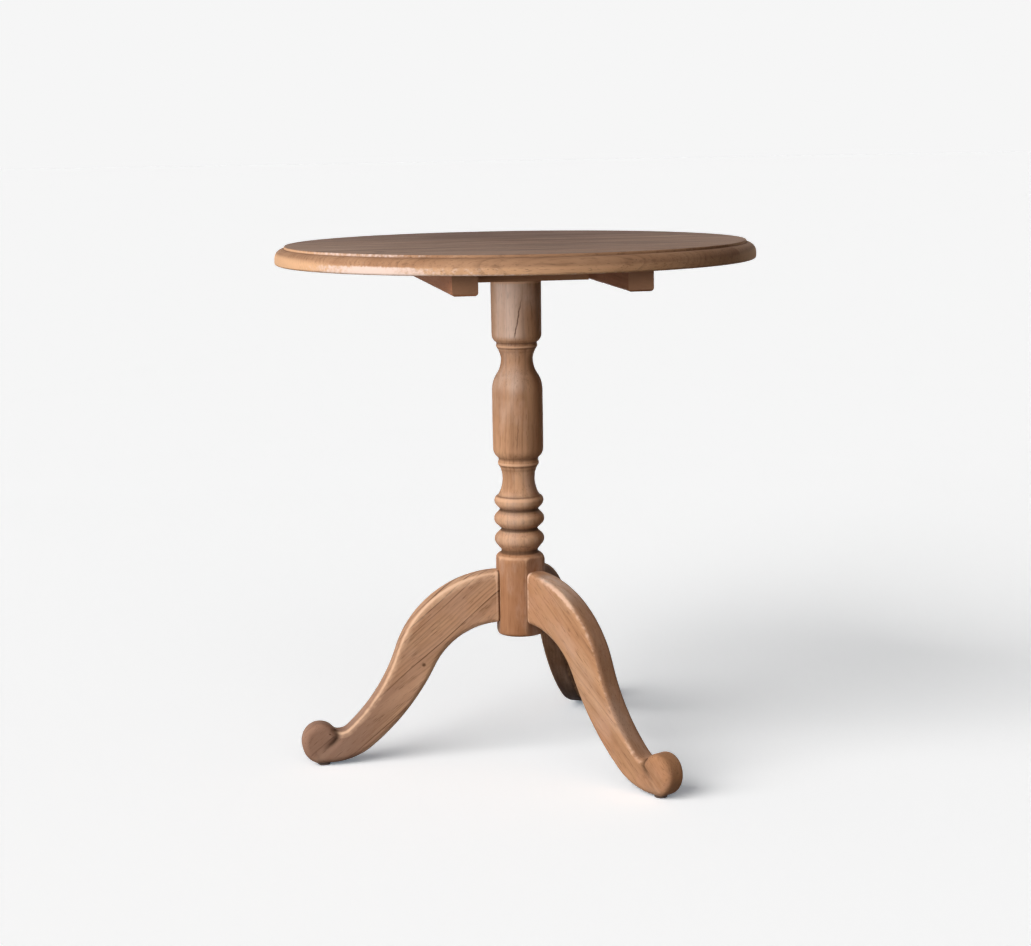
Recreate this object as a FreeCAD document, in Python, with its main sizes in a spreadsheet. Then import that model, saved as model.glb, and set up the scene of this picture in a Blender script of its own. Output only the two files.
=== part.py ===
import FreeCAD, Part
import math
import os
import re

import Sketcher

# A round wine table: planked top on a batten frame, turned post, three scrolled legs.
# Millimetres, +Z up. The origin is on the floor under the post, and leg_left points along -X.

SIZES = (
    ("table_height", 660.0),
    # Round top, glued up from boards that run along X.
    ("top_diameter", 600.0),
    ("top_thickness", 23.0),
    ("board_width", 120.0),
    ("rim_lip", 2.0),
    ("rim_step", 1.5),
    ("rim_ovolo", 8.0),
    ("rim_underside", 5.5),
    ("seam_dowel_diameter", 8.0),
    ("seam_dowel_length", 40.0),
    ("seam_dowel_pitch", 140.0),
    # Frame under the top: two battens along Y with a cross rail between them.
    ("batten_width", 30.0),
    ("batten_depth", 25.0),
    ("batten_inset", 50.0),
    ("batten_gap", 174.0),
    ("batten_rounding", 4.0),
    ("rail_width", 64.0),
    ("rail_tenon_length", 14.0),
    ("rail_tenon_width", 40.0),
    ("rail_tenon_thickness", 10.0),
    # Countersunk wood screws that hold the frame to the top.
    ("screw_diameter", 4.0),
    ("screw_head_diameter", 8.0),
    ("screw_bite", 13.0),
    ("screw_point", 5.0),
    ("screw_slot_width", 1.0),
    ("screw_slot_depth", 1.0),
    ("screw_end_margin", 35.0),
    ("rail_screw_offset", 52.0),
    # Wedged round tenon on top of the post.
    ("tenon_diameter", 36.0),
    ("tenon_relief", 0.5),
    ("wedge_tip", 1.5),
    ("wedge_head", 4.0),
    ("wedge_depth", 18.0),
    ("wedge_length", 34.0),
    # Turned post, from its foot upwards.
    ("post_clearance", 158.5),
    ("post_edge", 4.0),
    ("drum_radius", 32.0),
    ("drum_height", 94.0),
    ("flat_depth", 4.0),
    ("shoulder_radius", 12.0),
    ("spindle_radius", 22.5),
    ("ring_height", 18.0),
    ("ring_gap", 8.2),
    ("collar_gap", 6.0),
    ("collar_radius", 27.0),
    ("lower_flare_height", 21.6),
    ("lower_neck_radius", 20.3),
    ("lower_cove_height", 11.0),
    ("lower_fillet_height", 4.4),
    ("bead_height", 6.8),
    ("quirk_height", 2.4),
    ("vase_radius", 32.0),
    ("vase_shoulder_radius", 47.0),
    ("upper_flare_height", 45.0),
    ("upper_neck_radius", 19.8),
    ("upper_cove_height", 10.0),
    ("upper_fillet_height", 2.6),
    ("barrel_radius", 31.5),
    ("barrel_share", 0.48),
    # Scrolled legs, butted on flats of the drum.
    ("leg_thickness", 30.0),
    ("leg_edge_radius", 5.5),
    ("leg_seat_rise", 17.2),
    ("leg_root_depth", 66.7),
    ("knee_radius", 142.0),
    ("hollow_radius", 228.0),
    ("notch_radius", 14.0),
    ("notch_offset", 26.3),
    ("scroll_radius", 22.5),
    ("scroll_lead", 4.4),
    ("toe_drop", 7.0),
    ("toe_growth", 5.9),
    ("instep", 41.5),
    ("shin_radius", 304.0),
    ("arch_radius", 96.0),
    ("foot_reach", 258.5),
    ("foot_flat", 18.0),
    ("leg_dowel_diameter", 10.0),
    ("leg_dowel_post_depth", 17.0),
    ("leg_dowel_leg_depth", 28.0),
    ("leg_dowel_spacing", 36.0),
    # Nailed glides under the feet.
    ("glide_diameter", 16.0),
    ("glide_height", 3.5),
    ("glide_edge", 0.8),
    ("nail_diameter", 2.4),
    ("nail_length", 16.0),
    ("nail_head_diameter", 6.0),
    ("nail_head_height", 1.2),
    # Slip fit between a pin or tenon and its hole.
    ("joint_clearance", 0.1),
)
NAMES = {name for name, number in SIZES}

BOARD_COUNT = 5
SCREWS_PER_BATTEN = 6
DOWELS_PER_SEAM = 3
DOWELS_PER_LEG = 2
LEG_NAMES = ("left", "front", "rear")
LEG_COUNT = len(LEG_NAMES)

# Sums of sizes that several pieces share.
FLAT_DISTANCE = "(drum_radius - flat_depth)"
BATTEN_LENGTH = "(top_diameter - 2 * batten_inset)"
BATTEN_CENTRE = "(batten_gap / 2 + batten_width / 2)"
SCREW_SPAN = "(" + BATTEN_LENGTH + " - 2 * screw_end_margin)"
SCREW_HEAD = "((screw_head_diameter - screw_diameter) / 2)"
LEG_DOWEL_BORE = "leg_dowel_diameter / 2 + joint_clearance"
LEG_FOOT = "(post_clearance + leg_seat_rise)"
HEEL_RADIUS = "(foot_reach - foot_flat / 2 - " + FLAT_DISTANCE + " - arch_radius - instep)"
DRUM_SHOULDER = "sqrt(shoulder_radius ^ 2 - (spindle_radius - drum_radius + shoulder_radius) ^ 2)"
VASE_SHOULDER = "sqrt(shoulder_radius ^ 2 - (spindle_radius - vase_radius + shoulder_radius) ^ 2)"
BARREL_SHOULDER = "sqrt(shoulder_radius ^ 2 - (spindle_radius - barrel_radius + shoulder_radius) ^ 2)"
COLLAR_RISE = "(ring_height / 2 + sqrt((ring_height / 2) ^ 2 - (collar_radius - spindle_radius) ^ 2))"
MOULDINGS = (
    "(drum_height + " + DRUM_SHOULDER
    + " + 2 * ring_gap + 2 * ring_height + collar_gap + " + COLLAR_RISE
    + " + lower_flare_height + lower_cove_height + lower_fillet_height + bead_height + quirk_height + "
    + VASE_SHOULDER + " + upper_flare_height + upper_cove_height + upper_fillet_height"
    + " + bead_height + quirk_height + " + BARREL_SHOULDER + ")"
)
POST_HEIGHT = "(table_height - top_thickness - batten_depth - post_clearance)"
# The straight stretches of the vase and the barrel share what the mouldings leave of the post.
VASE_HEIGHT = "((" + POST_HEIGHT + " - " + MOULDINGS + ") * (1 - barrel_share))"
BARREL_HEIGHT = "((" + POST_HEIGHT + " - " + MOULDINGS + ") * barrel_share)"
FRAME_BOTTOM = "(table_height - top_thickness - batten_depth)"
TOP_BOTTOM = "(table_height - top_thickness)"

# How a sketch numbers the points of an edge and its own origin.
START, END, CENTRE = range(1, 4)
ORIGIN = (-1, START)

# Two places closer than this are the same place.
NEAR = 0.001

doc = FreeCAD.newDocument("wine_table")
sheet = doc.addObject("Spreadsheet::Sheet", "Sizes")
for row, (name, number) in enumerate(SIZES, start=1):
    sheet.set("A%d" % row, name)
    sheet.set("B%d" % row, str(number))
    sheet.setAlias("B%d" % row, name)
doc.recompute()


def formula(text):
    """The text with every size name pointed at its cell."""
    def point(match):
        word = match.group()
        return "Sizes." + word if word in NAMES else word
    return re.sub(r"[a-z_]+", point, text)


def worth(text):
    """The number that a sum of sizes comes to."""
    return float(sheet.evalExpression(formula(text)))


def bind(item, prop, text):
    item.setExpression(prop, formula(text))


def vector(point):
    return FreeCAD.Vector(point[0], point[1], 0)


def angle(centre, point):
    return math.atan2(point[1] - centre[1], point[0] - centre[0])


def toward(centre, target, radius):
    """The point on a circle round centre in the direction of target."""
    span = math.dist(centre, target)
    return tuple(c + (g - c) * radius / span for c, g in zip(centre, target))


def crossing(one, one_radius, other, other_radius):
    """Where two circles cross, on the left of the way from one to the other."""
    span = math.dist(one, other)
    along = (one_radius ** 2 - other_radius ** 2 + span ** 2) / (2 * span)
    aside = math.sqrt(one_radius ** 2 - along ** 2)
    ahead = ((other[0] - one[0]) / span, (other[1] - one[1]) / span)
    return (one[0] + along * ahead[0] - aside * ahead[1],
            one[1] + along * ahead[1] + aside * ahead[0])


def origin_item(body, role):
    return [item for item in body.Origin.OriginFeatures if item.Role == role][0]


def new_body(label):
    return doc.addObject("PartDesign::Body", label)


def new_sketch(body, plane):
    sketch = body.newObject("Sketcher::SketchObject", body.Label + "_outline")
    sketch.AttachmentSupport = [(origin_item(body, plane), "")]
    sketch.MapMode = "FlatFace"
    return sketch


def primitive(body, kind, plane, sizes, place):
    """A sized box, cylinder, cone or wedge on an origin plane; place is measured in that plane."""
    item = body.newObject("PartDesign::" + kind, body.Label + "_" + kind)
    item.AttachmentSupport = [(origin_item(body, plane), "")]
    item.MapMode = "FlatFace"
    for prop, text in sizes.items():
        bind(item, prop, text)
    for axis, text in place.items():
        bind(item, "AttachmentOffset.Base." + axis, text)
    return item


def repeat(body, pattern, count, original):
    """Fills in a pattern of one feature, or of the whole piece when none is named."""
    pattern.Occurrences = count
    if original:
        pattern.Originals = [original]
    else:
        pattern.TransformMode = "Whole shape"
    body.Tip = pattern


def leg_place(index):
    """Turns what is drawn along +X to a leg's place; the first leg points along -X."""
    turn = 180 + 360 * index / LEG_COUNT
    return FreeCAD.Placement(FreeCAD.Vector(), FreeCAD.Vector(0, 0, 1), turn)


def row_of(body, axis, length, count, original=None):
    doc.recompute()
    pattern = body.newObject("PartDesign::LinearPattern", body.Label + "_row")
    pattern.Direction = (origin_item(body, axis), [""])
    bind(pattern, "Length", length)
    repeat(body, pattern, count, original)


def ring_of(body, count, original=None):
    doc.recompute()
    pattern = body.newObject("PartDesign::PolarPattern", body.Label + "_ring")
    pattern.Axis = (origin_item(body, "Z_Axis"), [""])
    pattern.Angle = 360
    repeat(body, pattern, count, original)


def soften(body, kind, prop, text, wanted):
    """Rounds or bevels the edges of a body that the wanted test picks out."""
    doc.recompute()
    base = body.Tip
    names = ["Edge%d" % n for n, edge in enumerate(base.Shape.Edges, start=1) if wanted(edge)]
    item = body.newObject("PartDesign::" + kind, body.Label + "_" + kind)
    item.Base = (base, names)
    bind(item, prop, text)
    doc.recompute()


class Outline:
    """A sketch drawn edge by edge, with its sizes tied to the sheet."""

    def __init__(self, sketch):
        self.sketch = sketch

    def line(self, start, end):
        return self.sketch.addGeometry(Part.LineSegment(vector(start), vector(end)))

    def arc(self, centre, start, end):
        """An arc that runs counter-clockwise from start to end."""
        circle = Part.Circle(vector(centre), FreeCAD.Vector(0, 0, 1), math.dist(centre, start))
        first = angle(centre, start)
        last = angle(centre, end)
        if last < first:
            last += 2 * math.pi
        return self.sketch.addGeometry(Part.ArcOfCircle(circle, first, last))

    def rule(self, kind, *where):
        self.sketch.addConstraint(Sketcher.Constraint(kind, *where))

    def size(self, kind, where, text):
        index = self.sketch.addConstraint(Sketcher.Constraint(kind, *where, worth(text)))
        bind(self.sketch, "Constraints[%d]" % index, text)


class Turning(Outline):
    """Half the section of a turned piece, drawn up its outside from the middle of its foot."""

    def __init__(self, sketch):
        super().__init__(sketch)
        self.here = (0.0, 0.0)
        self.last = ORIGIN

    def move_on(self, edge, end, point):
        self.here = point
        self.last = (edge, end)

    def across(self, radius):
        point = (worth(radius), self.here[1])
        edge = self.line(self.here, point)
        self.rule("Coincident", edge, START, *self.last)
        self.rule("Horizontal", edge)
        self.size("DistanceX", (*ORIGIN, edge, END), radius)
        self.move_on(edge, END, point)

    def upright(self, rise):
        point = (self.here[0], self.here[1] + worth(rise))
        edge = self.line(self.here, point)
        self.rule("Coincident", edge, START, *self.last)
        self.rule("Vertical", edge)
        self.size("DistanceY", (edge, START, edge, END), rise)
        self.move_on(edge, END, point)

    def slope(self, radius, rise):
        point = (worth(radius), self.here[1] + worth(rise))
        edge = self.line(self.here, point)
        self.rule("Coincident", edge, START, *self.last)
        self.size("DistanceX", (*ORIGIN, edge, END), radius)
        self.size("DistanceY", (edge, START, edge, END), rise)
        self.move_on(edge, END, point)

    def round_out(self, radius):
        """Quarter round from a level face up into an upright one."""
        reach = worth(radius)
        centre = (self.here[0], self.here[1] + reach)
        point = (centre[0] + reach, centre[1])
        edge = self.arc(centre, self.here, point)
        self.rule("Coincident", edge, START, *self.last)
        self.rule("Vertical", edge, START, edge, CENTRE)
        self.rule("Horizontal", edge, CENTRE, edge, END)
        self.size("Radius", (edge,), radius)
        self.move_on(edge, END, point)

    def round_in(self, radius):
        """Quarter round from an upright face in to a level one."""
        reach = worth(radius)
        centre = (self.here[0] - reach, self.here[1])
        point = (centre[0], centre[1] + reach)
        edge = self.arc(centre, self.here, point)
        self.rule("Coincident", edge, START, *self.last)
        self.rule("Horizontal", edge, CENTRE, edge, START)
        self.rule("Vertical", edge, CENTRE, edge, END)
        self.size("Radius", (edge,), radius)
        self.move_on(edge, END, point)

    def shoulder_in(self, radius):
        """Part round from an upright face in to a smaller radius."""
        reach = worth("shoulder_radius")
        centre = (self.here[0] - reach, self.here[1])
        inner = worth(radius)
        point = (inner, centre[1] + math.sqrt(reach ** 2 - (inner - centre[0]) ** 2))
        edge = self.arc(centre, self.here, point)
        self.rule("Coincident", edge, START, *self.last)
        self.rule("Horizontal", edge, CENTRE, edge, START)
        self.size("Radius", (edge,), "shoulder_radius")
        self.size("DistanceX", (*ORIGIN, edge, END), radius)
        self.move_on(edge, END, point)

    def shoulder_out(self, radius):
        """Part round from a groove out to an upright face."""
        reach = worth("shoulder_radius")
        outer = worth(radius)
        inset = self.here[0] - (outer - reach)
        centre = (outer - reach, self.here[1] + math.sqrt(reach ** 2 - inset ** 2))
        point = (outer, centre[1])
        edge = self.arc(centre, self.here, point)
        self.rule("Coincident", edge, START, *self.last)
        self.rule("Horizontal", edge, CENTRE, edge, END)
        self.size("Radius", (edge,), "shoulder_radius")
        self.size("DistanceX", (*ORIGIN, edge, END), radius)
        self.move_on(edge, END, point)

    def torus(self, height, radius):
        """Round moulding that starts on the spindle and goes on to a radius on its upper side."""
        reach = worth(height) / 2
        centre = (self.here[0], self.here[1] + reach)
        outer = worth(radius)
        point = (outer, centre[1] + math.sqrt(reach ** 2 - (outer - centre[0]) ** 2))
        edge = self.arc(centre, self.here, point)
        self.rule("Coincident", edge, START, *self.last)
        self.size("DistanceX", (*ORIGIN, edge, CENTRE), "spindle_radius")
        self.size("DistanceX", (*ORIGIN, edge, END), radius)
        self.size("Radius", (edge,), height + " / 2")
        self.move_on(edge, END, point)

    def hollow_in(self, radius, rise):
        """Hollow that narrows upwards and is upright at its top."""
        point = (worth(radius), self.here[1] + worth(rise))
        inward = self.here[0] - point[0]
        reach = (inward ** 2 + (point[1] - self.here[1]) ** 2) / (2 * inward)
        edge = self.arc((point[0] + reach, point[1]), point, self.here)
        self.rule("Coincident", edge, END, *self.last)
        self.rule("Horizontal", edge, CENTRE, edge, START)
        self.size("DistanceX", (*ORIGIN, edge, START), radius)
        self.size("DistanceY", (edge, END, edge, START), rise)
        self.move_on(edge, START, point)

    def hollow_out(self, radius, rise):
        """Hollow that is upright at its foot and widens upwards."""
        point = (worth(radius), self.here[1] + worth(rise))
        outward = point[0] - self.here[0]
        reach = (outward ** 2 + (point[1] - self.here[1]) ** 2) / (2 * outward)
        edge = self.arc((self.here[0] + reach, self.here[1]), point, self.here)
        self.rule("Coincident", edge, END, *self.last)
        self.rule("Horizontal", edge, CENTRE, edge, END)
        self.size("DistanceX", (*ORIGIN, edge, START), radius)
        self.size("DistanceY", (edge, END, edge, START), rise)
        self.move_on(edge, START, point)

    def ogee_in(self, radius, rise, shoulder):
        """Round shoulder that flows into a hollow; both are upright where they end."""
        foot = self.here
        point = (worth(radius), foot[1] + worth(rise))
        inward = foot[0] - point[0]
        round_reach = worth(shoulder)
        hollow_reach = (inward ** 2 + (point[1] - foot[1]) ** 2) / (2 * inward) - round_reach
        round_centre = (foot[0] - round_reach, foot[1])
        hollow_centre = (point[0] + hollow_reach, point[1])
        turn = toward(round_centre, hollow_centre, round_reach)
        swell = self.arc(round_centre, foot, turn)
        hollow = self.arc(hollow_centre, point, turn)
        self.rule("Coincident", swell, START, *self.last)
        self.rule("Horizontal", swell, CENTRE, swell, START)
        self.size("Radius", (swell,), shoulder)
        self.rule("Tangent", swell, END, hollow, END)
        self.rule("Horizontal", hollow, CENTRE, hollow, START)
        self.size("DistanceX", (*ORIGIN, hollow, START), radius)
        self.size("DistanceY", (swell, START, hollow, START), rise)
        self.move_on(hollow, START, point)

    def close(self):
        """Goes in to the axis and back down it."""
        point = (0.0, self.here[1])
        lid = self.line(self.here, point)
        self.rule("Coincident", lid, START, *self.last)
        self.rule("Horizontal", lid)
        axis = self.line(point, (0.0, 0.0))
        self.rule("Vertical", axis)
        self.rule("Coincident", axis, START, lid, END)
        self.rule("Coincident", axis, END, *ORIGIN)


def revolve(body, sketch):
    turned = body.newObject("PartDesign::Revolution", body.Label + "_turning")
    turned.Profile = sketch
    turned.ReferenceAxis = (sketch, ["V_Axis"])
    turned.Angle = 360
    return turned


def make_top_blank():
    """The whole round top, before it is parted into boards."""
    body = new_body("top_blank")
    sketch = new_sketch(body, "XZ_Plane")
    rim = Turning(sketch)
    rim.across("top_diameter / 2 - rim_underside")
    rim.round_out("rim_underside")
    rim.upright("top_thickness - rim_underside - rim_ovolo - rim_step - rim_lip")
    rim.round_in("rim_ovolo")
    rim.upright("rim_step")
    rim.slope("top_diameter / 2 - rim_ovolo - rim_lip", "rim_lip")
    rim.close()
    revolve(body, sketch)
    bind(body, "Placement.Base.z", TOP_BOTTOM)
    return body


def make_post():
    body = new_body("post")
    sketch = new_sketch(body, "XZ_Plane")
    post = Turning(sketch)
    post.across("drum_radius - post_edge")
    post.round_out("post_edge")
    post.upright("drum_height - post_edge")
    post.shoulder_in("spindle_radius")
    for ring in range(2):
        post.upright("ring_gap")
        post.torus("ring_height", "spindle_radius")
    post.upright("collar_gap")
    post.torus("ring_height", "collar_radius")
    post.hollow_in("lower_neck_radius", "lower_flare_height")
    post.hollow_out("spindle_radius", "lower_cove_height")
    post.upright("lower_fillet_height")
    post.torus("bead_height", "spindle_radius")
    post.upright("quirk_height")
    post.shoulder_out("vase_radius")
    post.upright(VASE_HEIGHT)
    post.ogee_in("upper_neck_radius", "upper_flare_height", "vase_shoulder_radius")
    post.hollow_out("spindle_radius", "upper_cove_height")
    post.upright("upper_fillet_height")
    post.torus("bead_height", "spindle_radius")
    post.upright("quirk_height")
    post.shoulder_out("barrel_radius")
    post.upright(BARREL_HEIGHT)
    post.across("tenon_diameter / 2")
    post.upright("batten_depth - tenon_relief")
    post.close()
    revolve(body, sketch)
    flat = primitive(
        body, "SubtractiveBox", "XY_Plane",
        {"Length": "drum_radius", "Width": "2 * drum_radius", "Height": "drum_height + shoulder_radius"},
        {"x": FLAT_DISTANCE, "y": "-drum_radius"},
    )
    ring_of(body, LEG_COUNT, flat)
    for side in (-1, 1):
        hole = primitive(
            body, "SubtractiveCylinder", "YZ_Plane",
            {"Radius": LEG_DOWEL_BORE, "Height": "leg_dowel_post_depth + flat_depth"},
            {
                "y": "leg_seat_rise + leg_root_depth / 2 + (%d) * leg_dowel_spacing / 2" % side,
                "z": FLAT_DISTANCE + " - leg_dowel_post_depth",
            },
        )
        ring_of(body, LEG_COUNT, hole)
    crown = POST_HEIGHT + " + batten_depth - tenon_relief"
    wedge_shape(body, "SubtractiveWedge", "2 * tenon_diameter", crown)
    body.Placement = leg_place(0)
    bind(body, "Placement.Base.z", "post_clearance")
    return body


def wedge_shape(body, kind, length, crown):
    """The tapered wedge along Y, or the kerf for it, with its head at the height crown."""
    sizes = {
        "Xmin": "-wedge_tip / 2", "Xmax": "wedge_tip / 2",
        "X2min": "-wedge_head / 2", "X2max": "wedge_head / 2",
        "Ymin": "0", "Ymax": "wedge_depth",
        "Zmin": "-(%s) / 2" % length, "Zmax": "(%s) / 2" % length,
        "Z2min": "-(%s) / 2" % length, "Z2max": "(%s) / 2" % length,
    }
    return primitive(body, kind, "XZ_Plane", sizes, {"y": crown + " - wedge_depth"})


def make_tenon_wedge():
    body = new_body("tenon_wedge")
    wedge_shape(body, "AdditiveWedge", "wedge_length", FRAME_BOTTOM + " + batten_depth - tenon_relief")
    return body


def screw_holes(body, x, y, axis, length, count):
    """Cuts a row of clearance holes, each with a countersink at its foot."""
    place = {"x": x, "y": y}
    bore = primitive(
        body, "SubtractiveCylinder", "XY_Plane",
        {"Radius": "screw_diameter / 2 + joint_clearance", "Height": "batten_depth"},
        place,
    )
    row_of(body, axis, length, count, bore)
    sink = primitive(
        body, "SubtractiveCone", "XY_Plane",
        {
            "Radius1": "screw_head_diameter / 2 + joint_clearance",
            "Radius2": "screw_diameter / 2 + joint_clearance",
            "Height": SCREW_HEAD,
        },
        place,
    )
    row_of(body, axis, length, count, sink)


def make_batten(label, side):
    """A batten along Y; side is -1 on the left and 1 on the right."""
    body = new_body(label)
    primitive(
        body, "AdditiveBox", "XY_Plane",
        {"Length": "batten_width", "Width": BATTEN_LENGTH, "Height": "batten_depth"},
        {"x": "-batten_width / 2", "y": "-" + BATTEN_LENGTH + " / 2"},
    )

    def underneath(edge):
        middle = edge.CenterOfMass
        return abs(middle.z) < NEAR

    soften(body, "Fillet", "Radius", "batten_rounding", underneath)
    inner_face = "(%d) * batten_width / 2" % -side
    mortise_depth = "(rail_tenon_length + joint_clearance)"
    primitive(
        body, "SubtractiveBox", "XY_Plane",
        {
            "Length": mortise_depth,
            "Width": "rail_tenon_width + 2 * joint_clearance",
            "Height": "rail_tenon_thickness + 2 * joint_clearance",
        },
        {
            "x": inner_face if side > 0 else inner_face + " - " + mortise_depth,
            "y": "-rail_tenon_width / 2 - joint_clearance",
            "z": "batten_depth / 2 - rail_tenon_thickness / 2 - joint_clearance",
        },
    )
    screw_holes(body, "0", "-" + SCREW_SPAN + " / 2", "Y_Axis", SCREW_SPAN, SCREWS_PER_BATTEN)
    bind(body, "Placement.Base.x", "(%d) * " % side + BATTEN_CENTRE)
    bind(body, "Placement.Base.z", FRAME_BOTTOM)
    return body


def make_cross_rail():
    body = new_body("cross_rail")
    primitive(
        body, "AdditiveBox", "XY_Plane",
        {"Length": "batten_gap", "Width": "rail_width", "Height": "batten_depth"},
        {"x": "-batten_gap / 2", "y": "-rail_width / 2"},
    )
    primitive(
        body, "AdditiveBox", "XY_Plane",
        {
            "Length": "batten_gap + 2 * rail_tenon_length",
            "Width": "rail_tenon_width",
            "Height": "rail_tenon_thickness",
        },
        {
            "x": "-batten_gap / 2 - rail_tenon_length",
            "y": "-rail_tenon_width / 2",
            "z": "batten_depth / 2 - rail_tenon_thickness / 2",
        },
    )
    primitive(
        body, "SubtractiveCylinder", "XY_Plane",
        {"Radius": "tenon_diameter / 2 + joint_clearance", "Height": "batten_depth"},
        {},
    )
    screw_holes(body, "-rail_screw_offset", "0", "X_Axis", "2 * rail_screw_offset", 2)
    bind(body, "Placement.Base.z", FRAME_BOTTOM)
    return body


def screw_shape(body, x, y):
    """A slotted wood screw that points up, with its head level with the frame's underside."""
    place = {"x": x, "y": y}
    primitive(
        body, "AdditiveCone", "XY_Plane",
        {"Radius1": "screw_head_diameter / 2", "Radius2": "screw_diameter / 2", "Height": SCREW_HEAD},
        {**place, "z": FRAME_BOTTOM},
    )
    shank = "batten_depth + screw_bite - screw_point"
    primitive(
        body, "AdditiveCylinder", "XY_Plane",
        {"Radius": "screw_diameter / 2", "Height": shank},
        {**place, "z": FRAME_BOTTOM},
    )
    primitive(
        body, "AdditiveCone", "XY_Plane",
        {"Radius1": "screw_diameter / 2", "Radius2": "0", "Height": "screw_point"},
        {**place, "z": FRAME_BOTTOM + " + " + shank},
    )
    primitive(
        body, "SubtractiveBox", "XY_Plane",
        {"Length": "screw_head_diameter", "Width": "screw_slot_width", "Height": "screw_slot_depth"},
        {
            "x": x + " - screw_head_diameter / 2",
            "y": y + " - screw_slot_width / 2",
            "z": FRAME_BOTTOM,
        },
    )


def pilot_shape(body, x, y):
    """The hole that a screw makes in the top."""
    primitive(
        body, "AdditiveCylinder", "XY_Plane",
        {"Radius": "screw_diameter / 2 + joint_clearance", "Height": "screw_bite + joint_clearance"},
        {"x": x, "y": y, "z": TOP_BOTTOM},
    )


def make_batten_row(label, shape):
    """One shape at every screw place of both battens."""
    body = new_body(label)
    shape(body, "-" + BATTEN_CENTRE, "-" + SCREW_SPAN + " / 2")
    row_of(body, "Y_Axis", SCREW_SPAN, SCREWS_PER_BATTEN)
    row_of(body, "X_Axis", "2 * " + BATTEN_CENTRE, 2)
    return body


def make_rail_row(label, shape):
    """One shape at every screw place of the cross rail."""
    body = new_body(label)
    shape(body, "-rail_screw_offset", "0")
    row_of(body, "X_Axis", "2 * rail_screw_offset", 2)
    return body


def make_seam_row(label, slack):
    """A dowel, or with some slack the hole for it, at every dowel place between the boards."""
    body = new_body(label)
    first_seam = "(%d) * board_width / 2" % -(BOARD_COUNT - 2)
    primitive(
        body, "AdditiveCylinder", "XZ_Plane",
        {"Radius": "seam_dowel_diameter / 2 + " + slack, "Height": "seam_dowel_length + 2 * " + slack},
        {
            "x": "-seam_dowel_pitch",
            "y": TOP_BOTTOM + " + top_thickness / 2",
            "z": "-(%s) - seam_dowel_length / 2 - %s" % (first_seam, slack),
        },
    )
    row_of(body, "X_Axis", "2 * seam_dowel_pitch", DOWELS_PER_SEAM)
    row_of(body, "Y_Axis", "%d * board_width" % (BOARD_COUNT - 2), BOARD_COUNT - 1)
    return body


def make_boards(blank, holes):
    """Parts the round blank into boards along X; the two outer boards take what is left."""
    boards = []
    for index in range(BOARD_COUNT):
        near = "(%d) * board_width / 2" % (2 * index - BOARD_COUNT)
        width = "board_width"
        if index == 0:
            near = "-top_diameter / 2"
            width = "top_diameter / 2 - %d * board_width / 2" % (BOARD_COUNT - 2)
        elif index == BOARD_COUNT - 1:
            width = "top_diameter / 2 - %d * board_width / 2" % (BOARD_COUNT - 2)
        strip = doc.addObject("Part::Box", "board_strip")
        bind(strip, "Length", "top_diameter")
        bind(strip, "Width", width)
        bind(strip, "Height", "top_thickness")
        bind(strip, "Placement.Base.x", "-top_diameter / 2")
        bind(strip, "Placement.Base.y", near)
        bind(strip, "Placement.Base.z", TOP_BOTTOM)
        solid_board = doc.addObject("Part::MultiCommon", "board_blank")
        solid_board.Shapes = [blank, strip]
        board = doc.addObject("Part::Cut", "top_board_%d" % (index + 1))
        board.Base = solid_board
        board.Tool = holes
        boards.append(board)
    return boards


def leg_points():
    """Where the arcs of a leg have their centres and where they meet, in its own plane."""
    root = worth(FLAT_DISTANCE)
    low = worth(LEG_FOOT)
    high = low + worth("leg_root_depth")
    sole = worth("glide_height")
    knee_radius = worth("knee_radius")
    hollow_radius = worth("hollow_radius")
    notch_radius = worth("notch_radius")
    scroll_radius = worth("scroll_radius")
    toe_radius = worth("scroll_radius + toe_growth")
    heel_radius = worth(HEEL_RADIUS)
    shin_radius = worth("shin_radius")
    arch_radius = worth("arch_radius")
    notch_offset = worth("notch_offset")
    at = {"root_low": (root, low), "root_high": (root, high)}
    at["toe"] = (worth("foot_reach + foot_flat / 2"), sole)
    at["heel"] = (worth("foot_reach - foot_flat / 2"), sole)
    scroll = (worth("foot_reach + scroll_lead"), sole + worth("toe_drop") + scroll_radius)
    lift = math.sqrt((notch_radius + scroll_radius) ** 2 - notch_offset ** 2)
    notch = (scroll[0] - notch_offset, scroll[1] + lift)
    knee = (root, high - knee_radius)
    hollow = crossing(knee, knee_radius + hollow_radius, notch, hollow_radius - notch_radius)
    toe = crossing(at["toe"], toe_radius, scroll, toe_radius - scroll_radius)
    heel = (at["heel"][0], sole + heel_radius)
    arch = (root, low - arch_radius)
    shin = crossing(arch, shin_radius + arch_radius, heel, shin_radius - heel_radius)
    at["knee_hollow"] = toward(knee, hollow, knee_radius)
    at["hollow_notch"] = toward(hollow, notch, hollow_radius)
    at["notch_scroll"] = toward(notch, scroll, notch_radius)
    at["scroll_toe"] = toward(toe, scroll, toe_radius)
    at["heel_shin"] = toward(shin, heel, shin_radius)
    at["shin_arch"] = toward(arch, shin, arch_radius)
    centres = {
        "knee": knee, "hollow": hollow, "notch": notch, "scroll": scroll,
        "toe": toe, "heel": heel, "shin": shin, "arch": arch,
    }
    return at, centres


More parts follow.
